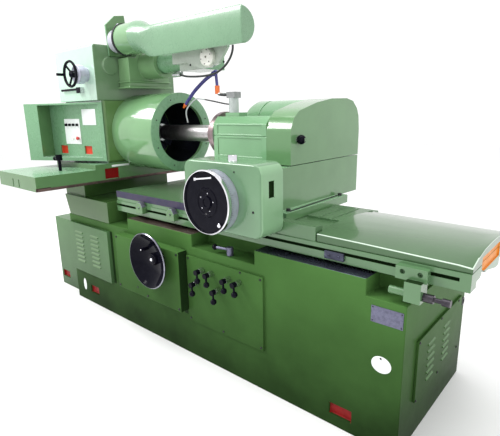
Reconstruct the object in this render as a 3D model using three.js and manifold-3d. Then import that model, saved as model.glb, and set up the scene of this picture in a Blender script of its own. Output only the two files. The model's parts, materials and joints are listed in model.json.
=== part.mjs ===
// Bore grinding machine with an end-face grinding unit, in millimetres, +Z up.
// X runs along the bed, the operator stands at -Y, and the origin is on the floor
// under the middle of the bed.
import * as THREE from 'three';
import { mergeVertices } from 'three/addons/utils/BufferGeometryUtils.js';
import Module from 'manifold-3d';

const wasm = await Module();
wasm.setup();

// Driving dimensions

const seat = 0.3; // gap between pieces that rest on each other
const slip = 0.5; // running gap of slides and shafts
const over = 6; // overrun of every cut
const wheelSides = 36;
const shaftSides = 24;
const pinSides = 12;
const turn = Math.PI * 2;

const bed = {
  width: 710, height: 600,
  waySpan: 480, wayRise: 100, wayStart: 510, wayEnd: 10,
  veeWide: 64, veeRise: 22, veeOffset: 170,
  padRise: 65,
  pocketWide: 98, pocketTall: 50, pocketDeep: 14,
  pocketLeft: 182, pocketLeftUp: 78, pocketIn: 286, pocketRightUp: 50,
};
// Left and right end of each raised pad, and the place of the reversing lever, along the bed
const padShares = [[0.2974, 0.5345], [0.7095, 0.9353]];
const reverserShare = 0.6371;
const cabinet = { length: 334, width: 610, height: 520, pocketLeft: 24, pocketUp: 62 };
const door = {
  left: 22, length: 471, bottom: 222, height: 332, thick: 22, columnLeft: 78, columnStep: 188,
  louvreWide: 92, louvreTall: 12, louvreOut: 7, louvreStep: 28, louvreCount: 8, louvreTop: 58,
};
const apronBox = { left: 640, length: 560, bottom: 256, height: 322, out: 57 };
const leverPanel = { left: 1206, length: 494, bottom: 204, height: 352, out: 10 };
const endPanel = {
  thick: 9, front: 120, length: 515, bottom: 166, frontTop: 422, backTop: 426, slope: 245,
  louvreWide: 74, louvreTall: 10, louvreOut: 5, louvreStep: 30, louvreCount: 6,
};
const lever = {
  bossRadius: 15, bossOut: 30, hubRadius: 13, hubOut: 22, rodRadius: 5, rodLength: 40,
  ballRadius: 15, tilt: 0.6,
};
// Across and up the lever panel
const leverShares = [[0.243, 0.849], [0.37, 0.841], [0.16, 0.636], [0.457, 0.634], [0.597, 0.841],
  [0.729, 0.841]];
const reverser = {
  y: 25, postRadius: 16, postTall: 40, rodRadius: 7, rodLength: 84, ballRadius: 14,
};
const bridge = {
  left: -30, footIn: 45, right: 490, blockLeft: -50, blockRight: 198, blockWidth: 666,
};
const bridgeShare = 0.5465; // height of the bridge's legs on the way up to the slide
const swing = 330; // wheel and work spindle axis above the table
const tray = {
  right: 410, length: 505, front: 718, back: 420, top: 209, thick: 83,
  stripTall: 19, stripFront: 78, stripIn: 7,
  stepTall: 30, stepFront: 360, pocketY: 299, slotWide: 11, slotTall: 46, slotDeep: 20,
  slotLeft: 195, slotStep: 80,
};
const headstock = { left: -56, front: 278, back: 300, bottom: 164, top: 193, plinthIn: 16, corner: 26 };
const consoleBox = {
  turnOut: 241, leftBack: 22, top: 184, rightMargin: 28, leftFlange: 100, deepLeft: 110,
  deepRight: 6, sill: 22, lintel: 10, gap: 0.7, pocketWide: 66, pocketTall: 50, pocketDeep: 8,
  pocketUp: 38, pocketRight: 90, pocketStep: 222,
};
const switchPlate = { right: 176, wide: 139, tall: 154, thick: 2, up: 99 };
const selector = { baseRadius: 8, baseOut: 5, bar: 5, barLong: 15, barOut: 9, step: 33, up: 118 };
const stopButton = {
  right: 196, up: 36, stemRadius: 6, stemOut: 8, stemIn: 8, travel: 4, headRadius: 11, headOut: 8,
};
const clampLever = {
  in: 155, y: 500, studRadius: 9, studTall: 62, hubRadius: 19, hubTall: 34, rodRadius: 7,
  rodLength: 92, ballRadius: 13,
};
const guard = { radius: 228, wall: 9, lip: 58, lipThick: 24, length: 389 };
const chuck = {
  radius: 160, thick: 52, bore: 42, shaftRadius: 60, shaftLength: 24, jawCount: 3, jawWide: 40,
  jawIn: 62, jawOut: 150, jawTall: 40, jawStepTall: 22, jawStepIn: 100,
};
const faceBox = { left: -56, front: 304, back: 275, height: 313, bevel: 10 };
const sideCap = { y: 200, up: 197, radius: 50, out: 12 };
const ram = {
  axisUp: 397, radius: 57, length: 590, back: 50, sleeveRadius: 84, sleeveLength: 155,
};
const saddle = {
  width: 292, bottom: 67, height: 175, out: 110, crownRadius: 100, flangeOut: 14, flangeTall: 12,
  ledgeUp: 34, ledgeTall: 9, ledgeOut: 9,
};
const faceWheel = {
  x: 409, axisUp: 149, rimRadius: 77, rimTube: 8, rimOut: 98, hubRadius: 20, hubLength: 26,
  spokeCount: 3, spokeRadius: 6, gripRadius: 8, gripLength: 46, dialRadius: 54, dialOut: 70,
};
const ramClamp = { x: 347, up: 64, hub: 34, hubOut: 22, rodRadius: 8, rodLength: 232 };
const arm = {
  motorGap: 15, front: 230, depth: 94, bulge: 8, top: 158, bottom: 4, length: 828, blendLength: 200, edge: 6,
  wall: 14, pocketStart: 170, pocketLength: 516, pocketTop: 72,
};
const faceMotor = {
  y: 155, up: 130, rearRadius: 66, rearLength: 104, ringRadius: 89, ringLength: 13, drumRadius: 84,
  drumLength: 131,
};
const mount = { front: 214, back: 76, foot: 251, top: 486, thick: 13 };
// Back and up over the face motor's mount plate
const mountShares = [[0.065, 0], [0, 0.723], [0.464, 0.957], [0.942, 1], [1, 0.702], [1, 0.106], [0.797, 0]];
const lug = { radius: 20, tube: 7, along: 34 };
const bracket = {
  hubStart: 485, hubLength: 190, hubWide: 76, hubTall: 130, plateThick: 16,
  plateStart: 612, plateLength: 291, plateTop: 96, plateFoot: 69, footShare: 0.37, endUp: 15,
};
const gland = { start: 360, length: 76, radius: 13, y: 20, drop: 74, footWide: 14 };
const cable = { radius: 5, along: 762, in: 16, start: 5 };
// Along, out and up from the gland to the underside of the hood
const cableShares = [[0, 0, 0], [0.041, 0.155, -0.05], [0.111, 0.32, -0.13], [0.258, 0.454, -0.31],
  [0.489, 0.567, -0.41], [0.651, 0.66, -0.373], [0.764, 0.747, -0.245], [0.872, 0.85, 0.026],
  [0.958, 0.943, 0.425], [0.996, 0.995, 0.772], [1, 1, 1]];
const disc = { along: 777, drop: 21, radius: 46, out: 24, hole: 6, rim: 7 };
const table = {
  left: 10, length: 1975, overhang: 175, frontOver: 60, backOver: 22, thick: 99.5, skirt: 20.5, skirtGap: 3,
  wellLeft: 540, wellLength: 860, wellDeep: 36, rimWide: 50,
  railTall: 62, railOut: 6, slotTall: 12, slotDeep: 16, slotUp: 32,
  barTall: 38, barLength: 790, barOut: 3, slotEnd: 35,
  padLeft: 1200, padLength: 192, padFront: 60, padBack: 215, padTall: 11, padGroove: 4,
  lugLength: 42, lugFront: 108, lugBack: 60, lugDrop: 27, lugSlope: 124,
  recessFront: 190, recessBack: 50, recessUp: 12, recessTall: 53, recessDeep: 6,
};
const endCover = { gap: 5, base: 41.5, crown: 96 };
// Places along the end cover; then, from front to back, a place across it and the height at each of them
const endCoverAlongShares = [0, 0.342, 0.921, 1];
const endCoverShares = [[0, 0.78, 0.75, 0.667, 0.625], [0.119, 0.875, 0.854, 0.8125, 0.833],
  [0.238, 0.9375, 0.9375, 0.906, 0.958], [0.4, 0.979, 0.969, 0.9375, 1], [0.569, 0.958, 0.948, 0.917, 0.979],
  [0.73, 0.875, 0.854, 0.8125, 0.875], [0.89, 0.729, 0.708, 0.646, 0.729], [1, 0.583, 0.5625, 0.52, 0.583]];
const dog = { wide: 62, tall: 62, out: 30, first: 236, step: 272, tongue: 13 };
const stopBracket = {
  in: 231, wide: 108, tall: 46, out: 30, dropWide: 56, dropTall: 64, dropIn: 44,
  holeRadius: 9, holeIn: 24, pinRadius: 14, pinLength: 60,
};
const stopScrew = { radius: 8, length: 86, knurlRadius: 15, knurlLength: 34, endRadius: 13, endLength: 26 };
const endLever = { up: 27, hubRadius: 11, hubOut: 16, drop: 84, rodRadius: 6, ballRadius: 10 };
const apron = {
  left: 790, length: 454, front: 140, bottom: 45, height: 303, corner: 46, bevel: 12,
  windowTall: 64, windowWide: 30, windowDeep: 14, windowUp: 168, windowBack: 62,
  cupRadius: 20, cupTall: 26, cupAlong: 262,
};
const crossWheel = {
  along: 202, up: 137, rimRadius: 137, rimWide: 20, dishDeep: 13, hubRadius: 30, hubOut: 9,
  dialRadius: 133, dialOut: 44, dialWall: 16, handleRadius: 6, handleLength: 100, handleAt: 96,
  handleLeft: 46,
  handleRise: 14,
};
const tableWheel = {
  along: 382, up: 256, rimRadius: 147, rimTube: 9, wall: 7, hubRadius: 30,
  hubLength: 52, handleRadius: 9, handleLength: 48, handleAt: 105,
};
const carriage = {
  left: 650, length: 490, front: 250, back: 523, drop: 130, flangeOver: 45, flangeFront: 200,
  flangeBack: 345, flangeTall: 36, boltRadius: 11, boltTall: 12,
};
const housing = {
  length: 350, width: 216, top: 92, shoulderIn: 33, footOut: 17, footTall: 12,
  panelIn: 30, panelDeep: 4, panelGap: 12, seam: 3,
};
const quill = {
  radius: 45, length: 530, noseRadius: 116, noseLength: 30, stepRadius: 100, stepLength: 22,
  collarRadius: 84, collarLength: 20, bore: 16,
};
const arbor = { radius: 14, wheelRadius: 52, wheelLength: 58, reach: 42, nutRadius: 22, nutLength: 10 };
const pulley = { radius: 56, motorRadius: 92, width: 48, gap: 14, beltThick: 5, beltIn: 6 };
const motor = {
  y: 262, up: 152, radius: 147, left: -20, length: 366, dome: 46, groove: 118, grooveWide: 10,
  grooveDeep: 8, footWide: 200, shaftRadius: 16,
};
const beltCover = {
  length: 140, wall: 6, hingeRadius: 8, hingeLength: 60, footGap: 3, front: 108, back: 526, tall: 298,
};
// Back and up round the outline of the belt cover
const beltCoverShares = [[0, 0], [0, 0.503], [0.005, 0.557], [0.036, 0.701], [0.098, 0.805], [0.199, 0.862],
  [0.33, 0.93], [0.541, 0.993], [0.776, 1], [0.879, 0.956], [0.953, 0.826], [0.984, 0.698], [1, 0.446],
  [0.995, 0]];
const knob = { y: 52, up: 117, radius: 22, neck: 9 };
const valve = {
  x: 72, y: 25, baseWide: 62, baseTall: 18, bodyRadius: 25, bodyTall: 78, headWide: 54,
  headTall: 24, pipeRadius: 9,
};
// Out to the left of the valve and up from it, along the elbow pipe and the spray pipe
const elbow = { reach: 116, rise: 42 };
const elbowShares = [[0.09, 0], [0.64, 0.05], [0.95, 0.24], [1, 1]];
const spray = { radius: 4, reach: 363, rise: 94 };
const sprayShares = [[0, 0.645], [0.11, 0.645], [0.42, 0.84], [0.64, 0.97], [0.77, 1], [0.91, 0.755],
  [1.027, 0.285], [1, -0.355]];
const hose = {
  radius: 8, ribRise: 2, ribStep: 9, bore: 5, fittingRadius: 13, fittingTall: 36, headWide: 24,
  crownOut: 30, crownUp: 65, reach: 226, drop: 147,
  nozzleRadius: 9, nozzleLength: 12, tipRadius: 5, tipLength: 16, tipBore: 3,
};
const hoseShares = [[0, 0], [0.106, 0.061], [0.261, 0.17], [0.473, 0.36], [0.686, 0.578], [0.845, 0.789],
  [1, 1]];

// Solids

function solid(geometry) {
  geometry.deleteAttribute('normal');
  geometry.deleteAttribute('uv');
  const merged = mergeVertices(geometry, 1e-4);
  const p = merged.attributes.position;
  const triVerts = new Uint32Array(merged.index.array);
  let volume = 0;
  const corner = [new THREE.Vector3(), new THREE.Vector3(), new THREE.Vector3()];
  for (let i = 0; i < triVerts.length; i += 3) {
    corner.forEach((v, k) => v.fromBufferAttribute(p, triVerts[i + k]));
    volume += corner[0].dot(corner[1].clone().cross(corner[2]));
  }
  if (volume < 0) {
    for (let i = 0; i < triVerts.length; i += 3) {
      [triVerts[i], triVerts[i + 1]] = [triVerts[i + 1], triVerts[i]];
    }
  }
  const vertProperties = new Float32Array(p.array);
  return new wasm.Manifold(new wasm.Mesh({ numProp: 3, vertProperties, triVerts }));
}

function faces(manifold) {
  const mesh = manifold.getMesh();
  const geometry = new THREE.BufferGeometry();
  geometry.setAttribute('position', new THREE.BufferAttribute(mesh.vertProperties, mesh.numProp));
  geometry.setIndex(new THREE.BufferAttribute(mesh.triVerts, 1));
  return geometry;
}

const join = (first, ...rest) => rest.reduce((sum, piece) => sum.add(piece), first);
const cut = (first, ...rest) => rest.reduce((sum, piece) => sum.subtract(piece), first);

function block(x0, x1, y0, y1, z0, z1) {
  const box = new THREE.BoxGeometry(x1 - x0, y1 - y0, z1 - z0);
  return solid(box.translate((x0 + x1) / 2, (y0 + y1) / 2, (z0 + z1) / 2));
}

// Extrusions of an outline: alongX takes (y, z), alongY takes (x, z), alongZ takes (x, y)
const basisX = new THREE.Matrix4().set(0, 0, 1, 0, 1, 0, 0, 0, 0, 1, 0, 0, 0, 0, 0, 1);
const basisY = new THREE.Matrix4().set(1, 0, 0, 0, 0, 0, -1, 0, 0, 1, 0, 0, 0, 0, 0, 1);

const outlineOf = (points) => new THREE.Shape(points.map(([u, v]) => new THREE.Vector2(u, v)));

function extruded(outline, depth, bevel) {
  const shape = Array.isArray(outline) ? outlineOf(outline) : outline;
  const rounding = {
    bevelEnabled: bevel > 0, bevelSize: bevel, bevelThickness: bevel, bevelOffset: -bevel, bevelSegments: 2,
  };
  return new THREE.ExtrudeGeometry(shape, { depth, curveSegments: 5, ...rounding });
}

function alongX(outline, x0, x1) {
  return solid(extruded(outline, x1 - x0, 0).applyMatrix4(basisX).translate(x0, 0, 0));
}

function alongY(outline, y0, y1, bevel = 0) {
  const depth = y1 - y0 - 2 * bevel;
  return solid(extruded(outline, depth, bevel).applyMatrix4(basisY).translate(0, y1 - bevel, 0));
}

function alongZ(outline, z0, z1) {
  return solid(extruded(outline, z1 - z0, 0).translate(0, 0, z0));
}

// A rectangle with round corners, as a shape
function rounded(u0, u1, v0, v1, r) {
  const s = new THREE.Shape();
  s.moveTo(u0 + r, v0);
  s.lineTo(u1 - r, v0).absarc(u1 - r, v0 + r, r, -turn / 4, 0, false);
  s.lineTo(u1, v1 - r).absarc(u1 - r, v1 - r, r, 0, turn / 4, false);
  s.lineTo(u0 + r, v1).absarc(u0 + r, v1 - r, r, turn / 4, turn / 2, false);
  s.lineTo(u0, v0 + r).absarc(u0 + r, v0 + r, r, turn / 2, turn * 0.75, false);
  return s;
}

// A turned piece: the profile is [radius, distance along the axis], closed on the axis or on itself
const axisTurn = { x: [0, 0, -turn / 4], y: [0, 0, 0], z: [turn / 4, 0, 0] };

function turned(profile, axis, at, sides = shaftSides) {
  const lathe = new THREE.LatheGeometry(profile.map(([r, h]) => new THREE.Vector2(r, h)), sides);
  const euler = new THREE.Euler(...axisTurn[axis]);
  return solid(lathe.applyMatrix4(new THREE.Matrix4().makeRotationFromEuler(euler)).translate(...at));
}

function rod(radius, axis, from, to, at, sides = shaftSides) {
  return turned([[0, from], [radius, from], [radius, to], [0, to]], axis, at, sides);
}

function ball(radius, at, sides = pinSides) {
  const g = new THREE.SphereGeometry(radius, sides, sides / 2);
  return solid(g.translate(...at));
}

// A straight round bar between two points
function bar(radius, a, b, sides = pinSides) {
  const from = new THREE.Vector3(...a);
  const to = new THREE.Vector3(...b);
  const g = new THREE.CylinderGeometry(radius, radius, from.distanceTo(to), sides);
  const way = to.clone().sub(from).normalize();
  g.applyQuaternion(new THREE.Quaternion().setFromUnitVectors(new THREE.Vector3(0, 1, 0), way));
  return solid(g.translate(...from.add(to).multiplyScalar(0.5).toArray()));
}

// A round tube or cord along a smooth curve through the points
function tube(points, radius, steps, sides) {
  const path = new THREE.CatmullRomCurve3(points.map((p) => new THREE.Vector3(...p)), false, 'centripetal');
  const section = new THREE.Shape();
  for (let i = 0; i < sides; i += 1) {
    const a = (turn * i) / sides;
    const method = i ? 'lineTo' : 'moveTo';
    section[method](radius * Math.cos(a), radius * Math.sin(a));
  }
  return solid(new THREE.ExtrudeGeometry(section, { steps, extrudePath: path, bevelEnabled: false }));
}

// A skin through cross sections of equal point count, each a list of [y, z] at its own x
function loft(stations) {
  const positions = [];
  const index = [];
  const count = stations[0].points.length;
  stations.forEach(({ x, points }) => points.forEach(([y, z]) => positions.push(x, y, z)));
  for (let s = 0; s + 1 < stations.length; s += 1) {
    for (let i = 0; i < count; i += 1) {
      const a = s * count + i;
      const b = s * count + ((i + 1) % count);
      index.push(a, b, a + count, b, b + count, a + count);
    }
  }
  const last = (stations.length - 1) * count;
  for (const [first, flip] of [[0, true], [last, false]]) {
    const { points } = stations[first / count];
    const flat = THREE.ShapeUtils.triangulateShape(points.map(([y, z]) => new THREE.Vector2(y, z)), []);
    for (const [a, b, c] of flat) {
      const [u, v, w] = [points[a], points[b], points[c]];
      const leftTurn = (v[0] - u[0]) * (w[1] - u[1]) > (v[1] - u[1]) * (w[0] - u[0]);
      const ordered = leftTurn === flip ? [a, c, b] : [a, b, c];
      index.push(...ordered.map((i) => first + i));
    }
  }
  const geometry = new THREE.BufferGeometry();
  geometry.setAttribute('position', new THREE.Float32BufferAttribute(positions, 3));
  geometry.setIndex(index);
  return solid(geometry);
}

// A closed skin through rings that follow a flat path, the last ring joined to the first
function rounds(rings, sides) {
  const across = new THREE.Vector3(0, 1, 0);
  const positions = [];
  const index = [];
  rings.forEach(({ centre, way, radius }, r) => {
    const side = new THREE.Vector3().crossVectors(across, way);
    for (let i = 0; i < sides; i += 1) {
      const a = (turn * i) / sides;
      positions.push(...centre.clone().addScaledVector(side, radius * Math.cos(a))
        .addScaledVector(across, radius * Math.sin(a)).toArray());
      const here = r * sides;
      const next = ((r + 1) % rings.length) * sides;
      const j = (i + 1) % sides;
      index.push(here + i, here + j, next + i, here + j, next + j, next + i);
    }
  });
  const geometry = new THREE.BufferGeometry();
  geometry.setAttribute('position', new THREE.Float32BufferAttribute(positions, 3));
  geometry.setIndex(index);
  return solid(geometry);
}

// Finishes

const finish = (color, roughness, metalness) => new THREE.MeshStandardMaterial({ color, roughness,
  metalness });
const enamel = finish(0x6f9a70, 0.35, 0.05);
const deepEnamel = finish(0x4c7346, 0.35, 0.05);
const machined = finish(0x5a5048, 0.4, 0.8);
const steel = finish(0xb8bbc0, 0.25, 0.95);
const bakelite = finish(0x0c0c0e, 0.25, 0.0);
const whitePaint = finish(0xe2e6dd, 0.4, 0.05);
const castGrey = finish(0x8a8a90, 0.45, 0.7);
const redPlastic = finish(0xb02018, 0.35, 0.0);
const abrasive = finish(0xd8cfc4, 0.95, 0.0);
const rubber = finish(0x101012, 0.7, 0.0);
const hosePlastic = finish(0x201a4c, 0.4, 0.0);

const machine = new THREE.Group();
machine.name = 'bore_grinding_machine';

function add(name, manifold, material, parent = machine) {
  const mesh = new THREE.Mesh(faces(manifold), material);
  mesh.name = name;
  parent.add(mesh);
  return mesh;
}

// Levels and edges that several pieces share
const bedLength = bed.wayStart + table.left + table.length - table.overhang;
const bedLeft = -bedLength / 2;
const bedRight = bedLength / 2;
const bedFront = -bed.width / 2;
const bedBack = bed.width / 2;
const onBed = (share) => bedLeft + share * bedLength;
const wayTop = bed.height + bed.wayRise;
const tableBottom = wayTop + slip;
const tableTop = tableBottom + table.thick;
const tableLeft = bedLeft + bed.wayStart + table.left;
const tableRight = tableLeft + table.length;
const tableFront = -bed.waySpan / 2 - table.frontOver;
const tableBack = bed.waySpan / 2 + table.backOver;
const wellFloor = tableTop - table.wellDeep;
const spindleHeight = tableTop + swing;
const headRight = bedLeft + tray.right; // right face of the whole workhead
const headLeft = headRight - tray.length;
const trayTop = spindleHeight - tray.top;
const trayBottom = trayTop - tray.thick;
const headBottom = spindleHeight - headstock.bottom;
const headTop = spindleHeight + headstock.top;
const faceBottom = headTop + seat;
const faceTop = faceBottom + faceBox.height;
const ramAxis = spindleHeight + ram.axisUp;
const carriageLeft = tableLeft + carriage.left;
const carriageRight = carriageLeft + carriage.length;
const carriageTop = spindleHeight - carriage.drop;

// Bed: a box casting with the two slideways, two raised pads and painted pockets

function pocket(x, z, front) {
  return block(x, x + bed.pocketWide, front - over, front + bed.pocketDeep, z, z + bed.pocketTall);
}

function makeBed() {
  const half = bed.waySpan / 2;
  const vee = bed.veeWide / 2;
  const ways = alongX([
    [-half, bed.height - over], [half, bed.height - over], [half, wayTop],
    [-bed.veeOffset + vee, wayTop], [-bed.veeOffset, wayTop + bed.veeRise],
    [-bed.veeOffset - vee, wayTop], [-half, wayTop],
  ], bedLeft + bed.wayStart, bedRight - bed.wayEnd);
  const body = block(bedLeft, bedRight, bedFront, bedBack, 0, bed.height);
  const padTop = bed.height + bed.padRise;
  const pads = padShares.map(([left, right]) => block(onBed(left), onBed(right), bedFront, -half + over,
    bed.height - over, padTop));
  return cut(join(body, ways, ...pads),
    pocket(bedLeft + bed.pocketLeft, bed.pocketLeftUp, bedFront),
    pocket(bedRight - bed.pocketIn, bed.pocketRightUp, bedFront));
}

function makeCabinet() {
  const right = bedLeft - seat;
  const left = right - cabinet.length;
  const front = -cabinet.width / 2;
  const box = block(left, right, front, cabinet.width / 2, 0, cabinet.height);
  return cut(box, pocket(left + cabinet.pocketLeft, cabinet.pocketUp, front));
}

// Pressed louvres: a wedge that stands proud of its sheet, open below
function louvre(x, z, wide, tall, out, front) {
  const rise = tall / 2;
  return alongX([[front + seat, z - rise], [front - out, z - rise], [front + seat, z + rise]], x, x + wide);
}

function makeDoor() {
  const left = bedLeft + door.left;
  const face = bedFront - seat - door.thick;
  const top = door.bottom + door.height;
  let sheet = block(left, left + door.length, face, bedFront - seat, door.bottom, top);
  for (let column = 0; column < 2; column += 1) {
    for (let row = 0; row < door.louvreCount; row += 1) {
      const z = top - door.louvreTop - row * door.louvreStep;
      const x = left + door.columnLeft + column * door.columnStep;
      sheet = sheet.add(louvre(x, z, door.louvreWide, door.louvreTall, door.louvreOut, face));
    }
  }
  return sheet;
}

function makeTableDriveApron() {
  const left = bedLeft + apronBox.left;
  const top = apronBox.bottom + apronBox.height;
  return block(left, left + apronBox.length, bedFront - seat - apronBox.out, bedFront - seat,
    apronBox.bottom, top);
}

// End panel: its upper front corner is cut off at a slope, with two sloping rows of louvres
function makeEndPanel() {
  const x = bedRight + seat;
  const front = bedFront + endPanel.front;
  const back = front + endPanel.length;
  let sheet = alongX([
    [front, endPanel.bottom], [back, endPanel.bottom], [back, endPanel.backTop],
    [front + endPanel.slope, endPanel.backTop], [front, endPanel.frontTop],
  ], x, x + endPanel.thick);
  const face = x + endPanel.thick;
  for (const share of [0.2, 0.55]) {
    for (let row = 0; row < endPanel.louvreCount; row += 1) {
      const y = front + share * endPanel.length;
      const z = endPanel.bottom + endPanel.louvreStep * (row + 1.6);
      const rise = endPanel.louvreTall / 2;
      const wedge = alongY([[face - seat, z - rise], [face + endPanel.louvreOut, z - rise],
        [face - seat, z + rise]], y, y + endPanel.louvreWide);
      sheet = sheet.add(wedge);
    }
  }
  return sheet;
}

// Control levers: a bright boss on the panel, and a turning hub with a bar and a ball

const panelFace = bedFront - seat - leverPanel.out;
const leverPlaces = leverShares.map(([along, up]) => [bedLeft + leverPanel.left + along * leverPanel.length,
  leverPanel.bottom + up * leverPanel.height]);

// The lever panel with its six bosses
function makeLeverPanel() {
  const left = bedLeft + leverPanel.left;
  let made = block(left, left + leverPanel.length, panelFace, bedFront - seat, leverPanel.bottom,
    leverPanel.bottom + leverPanel.height);
  for (const [x, z] of leverPlaces) {
    made = made.add(turned([[0, over], [lever.bossRadius, over], [lever.bossRadius, -lever.bossOut * 0.6],
      [lever.hubRadius, -lever.bossOut], [0, -lever.bossOut]], 'y', [x, panelFace, z], 20));
  }
  return made;
}

function makeControlLever([x, z]) {
  const back = panelFace - lever.bossOut - seat;
  const front = back - lever.hubOut;
  const hub = rod(lever.hubRadius, 'y', 0, lever.hubOut - seat, [x, front, z], 16);
  const mid = (front + back) / 2;
  const end = [x + lever.rodLength * Math.sin(lever.tilt), front - lever.ballRadius / 2,
    z - lever.rodLength * Math.cos(lever.tilt)];
  return join(hub, bar(lever.rodRadius, [x, mid, z], end, 8), ball(lever.ballRadius, end, 12));
}

function makeReverser() {
  const x = onBed(reverserShare);
  const y = bedFront + reverser.y;
  const post = bed.height + seat;
  const hub = rod(reverser.postRadius, 'z', -reverser.postTall, 0, [x, y, post + reverser.postTall], 16);
  const top = post + reverser.postTall * 0.7;
  const end = [x - reverser.rodLength, y - reverser.ballRadius, top];
  return join(hub, bar(reverser.rodRadius, [x, y, top], end, 10), ball(reverser.ballRadius, end));
}

// Bridge that carries the workhead over the left end of the bed
function makeBridge() {
  const foot = bed.height + seat;
  const top = bed.height + bridgeShare * (trayBottom - bed.height);
  const left = bedLeft + bridge.left;
  const right = bedLeft + bridge.right;
  const legs = alongY([[left + bridge.footIn, foot], [right, foot], [right, top], [left, top]], bedFront,
    bedBack);
  const seatBlock = block(bedLeft + bridge.blockLeft, bedLeft + bridge.blockRight, -bridge.blockWidth / 2,
    bridge.blockWidth / 2, top - over, trayBottom - seat);
  return join(legs, seatBlock);
}

// Workhead slide: a long flat tray with a machined way under its right edge
function makeTray() {
  const back = tray.back;
  const body = block(headLeft, headRight, -tray.front, back, trayBottom, trayTop);
  const step = block(headLeft + headstock.plinthIn, headRight, -tray.stepFront, back, trayTop - over,
    trayTop + tray.stepTall);
  const way = block(headRight - tray.stripIn, headRight + over, -tray.front - over,
    -tray.front + tray.stripFront,
    trayBottom - over, trayBottom + tray.stripTall);
  const pocketZ = trayBottom + tray.stripTall;
  const red = block(headRight - bed.pocketDeep, headRight + over, -tray.pocketY,
    -tray.pocketY + bed.pocketWide,
    pocketZ, pocketZ + bed.pocketTall + bed.pocketDeep);
  let made = cut(join(body, step), way, red);
  for (let i = 0; i < 2; i += 1) {
    const x = headLeft + tray.slotLeft + i * tray.slotStep;
    made = made.subtract(block(x, x + tray.slotWide, -tray.front - over, -tray.front + tray.slotDeep,
      trayBottom + over, trayBottom + over + tray.slotTall));
  }
  return made;
}

function makeHeadstock() {
  const left = headLeft - headstock.left - tray.stripIn;
  const foot = trayTop + tray.stepTall + seat;
  const boxShape = rounded(left, headRight, -headstock.front, headstock.back, headstock.corner);
  const plinth = block(left + headstock.plinthIn, headRight - headstock.plinthIn,
    -headstock.front + headstock.plinthIn, headstock.back - headstock.plinthIn, foot, headBottom + over);
  return join(alongZ(boxShape, headBottom, headTop), plinth);
}

// Console: a wedge in front of the headstock whose face turns towards the operator

const consoleRight = [headRight, -headstock.front - consoleBox.gap];
const consoleLeft = [headLeft - seat, consoleRight[1] - consoleBox.turnOut];
const faceLength = Math.hypot(consoleRight[0] - consoleLeft[0], consoleRight[1] - consoleLeft[1]);
const faceWay = [(consoleLeft[0] - consoleRight[0]) / faceLength,
  (consoleLeft[1] - consoleRight[1]) / faceLength];

function onConsole(along, deep) {
  return [consoleRight[0] + faceWay[0] * along + faceWay[1] * deep,
    consoleRight[1] + faceWay[1] * along - faceWay[0] * deep];
}

const panelRight = onConsole(consoleBox.rightMargin, consoleBox.deepRight);
const panelLeft = onConsole(faceLength - consoleBox.leftFlange, consoleBox.deepLeft);
const panelAngle = Math.atan2(panelRight[1] - panelLeft[1], panelRight[0] - panelLeft[0]);
const panelFloor = headBottom + consoleBox.sill;
const panel = new THREE.Group(); // on the recessed face: local X runs right, local -Y comes out
panel.position.set(panelRight[0], panelRight[1], panelFloor);
panel.rotation.z = panelAngle;
machine.add(panel);

function inPanel(manifold) {
  return manifold.rotate([0, 0, (panelAngle * 360) / turn]).translate(panel.position.toArray());
}

function makeConsole() {
  const top = spindleHeight + consoleBox.top;
  const back = consoleRight[1];
  const outline = [consoleRight, consoleLeft, [consoleLeft[0] + consoleBox.leftBack, back]];
  const body = alongZ(outline, headBottom, top);
  const recess = alongZ([onConsole(consoleBox.rightMargin, -over), panelRight, panelLeft,
    onConsole(faceLength - consoleBox.leftFlange, -over)], panelFloor, top - consoleBox.lintel);
  let made = cut(body, recess);
  for (let i = 0; i < 2; i += 1) {
    const right = -consoleBox.pocketRight - i * consoleBox.pocketStep;
    made = made.subtract(inPanel(block(right - consoleBox.pocketWide, right, -over, consoleBox.pocketDeep,
      consoleBox.pocketUp - consoleBox.sill, consoleBox.pocketUp - consoleBox.sill + consoleBox.pocketTall)));
  }
  return made.subtract(inPanel(buttonBore(stopButton.stemIn + stopButton.travel)));
}

const plateFace = -2 * seat - switchPlate.thick;
const plateFoot = switchPlate.up - consoleBox.sill;

// The stem of the stop button runs in a bore through the plate into the console
function buttonBore(deep) {
  return rod(stopButton.stemRadius + slip, 'y', plateFace - over, deep,
    [-stopButton.right, 0, plateFoot + stopButton.up], 18);
}

function makeSwitchPlate() {
  const plate = block(-switchPlate.right - switchPlate.wide, -switchPlate.right, -seat - switchPlate.thick,
    -seat,
    plateFoot, plateFoot + switchPlate.tall);
  return cut(plate, buttonBore(over));
}

function makeSelector(index) {
  const x = -switchPlate.right - switchPlate.wide / 2 + selector.step * (index - 1.5);
  const z = plateFoot + selector.up;
  const base = rod(selector.baseRadius, 'y', -selector.baseOut, 0, [x, plateFace, z], 16);
  const grip = block(x - selector.bar / 2, x + selector.bar / 2,
    plateFace - selector.baseOut - selector.barOut,
    plateFace - selector.baseOut + seat, z - selector.barLong / 2, z + selector.barLong / 2);
  return join(base, grip);
}

function makeStopButton() {
  const at = [-stopButton.right, plateFace, plateFoot + stopButton.up];
  const out = stopButton.stemOut + stopButton.headOut;
  return turned([[0, -out], [stopButton.headRadius * 0.7, -out], [stopButton.headRadius, -out * 0.8],
    [stopButton.headRadius, -stopButton.stemOut], [stopButton.stemRadius, -stopButton.stemOut],
    [stopButton.stemRadius, stopButton.stemIn], [0, stopButton.stemIn]], 'y', at, 18);
}

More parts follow.
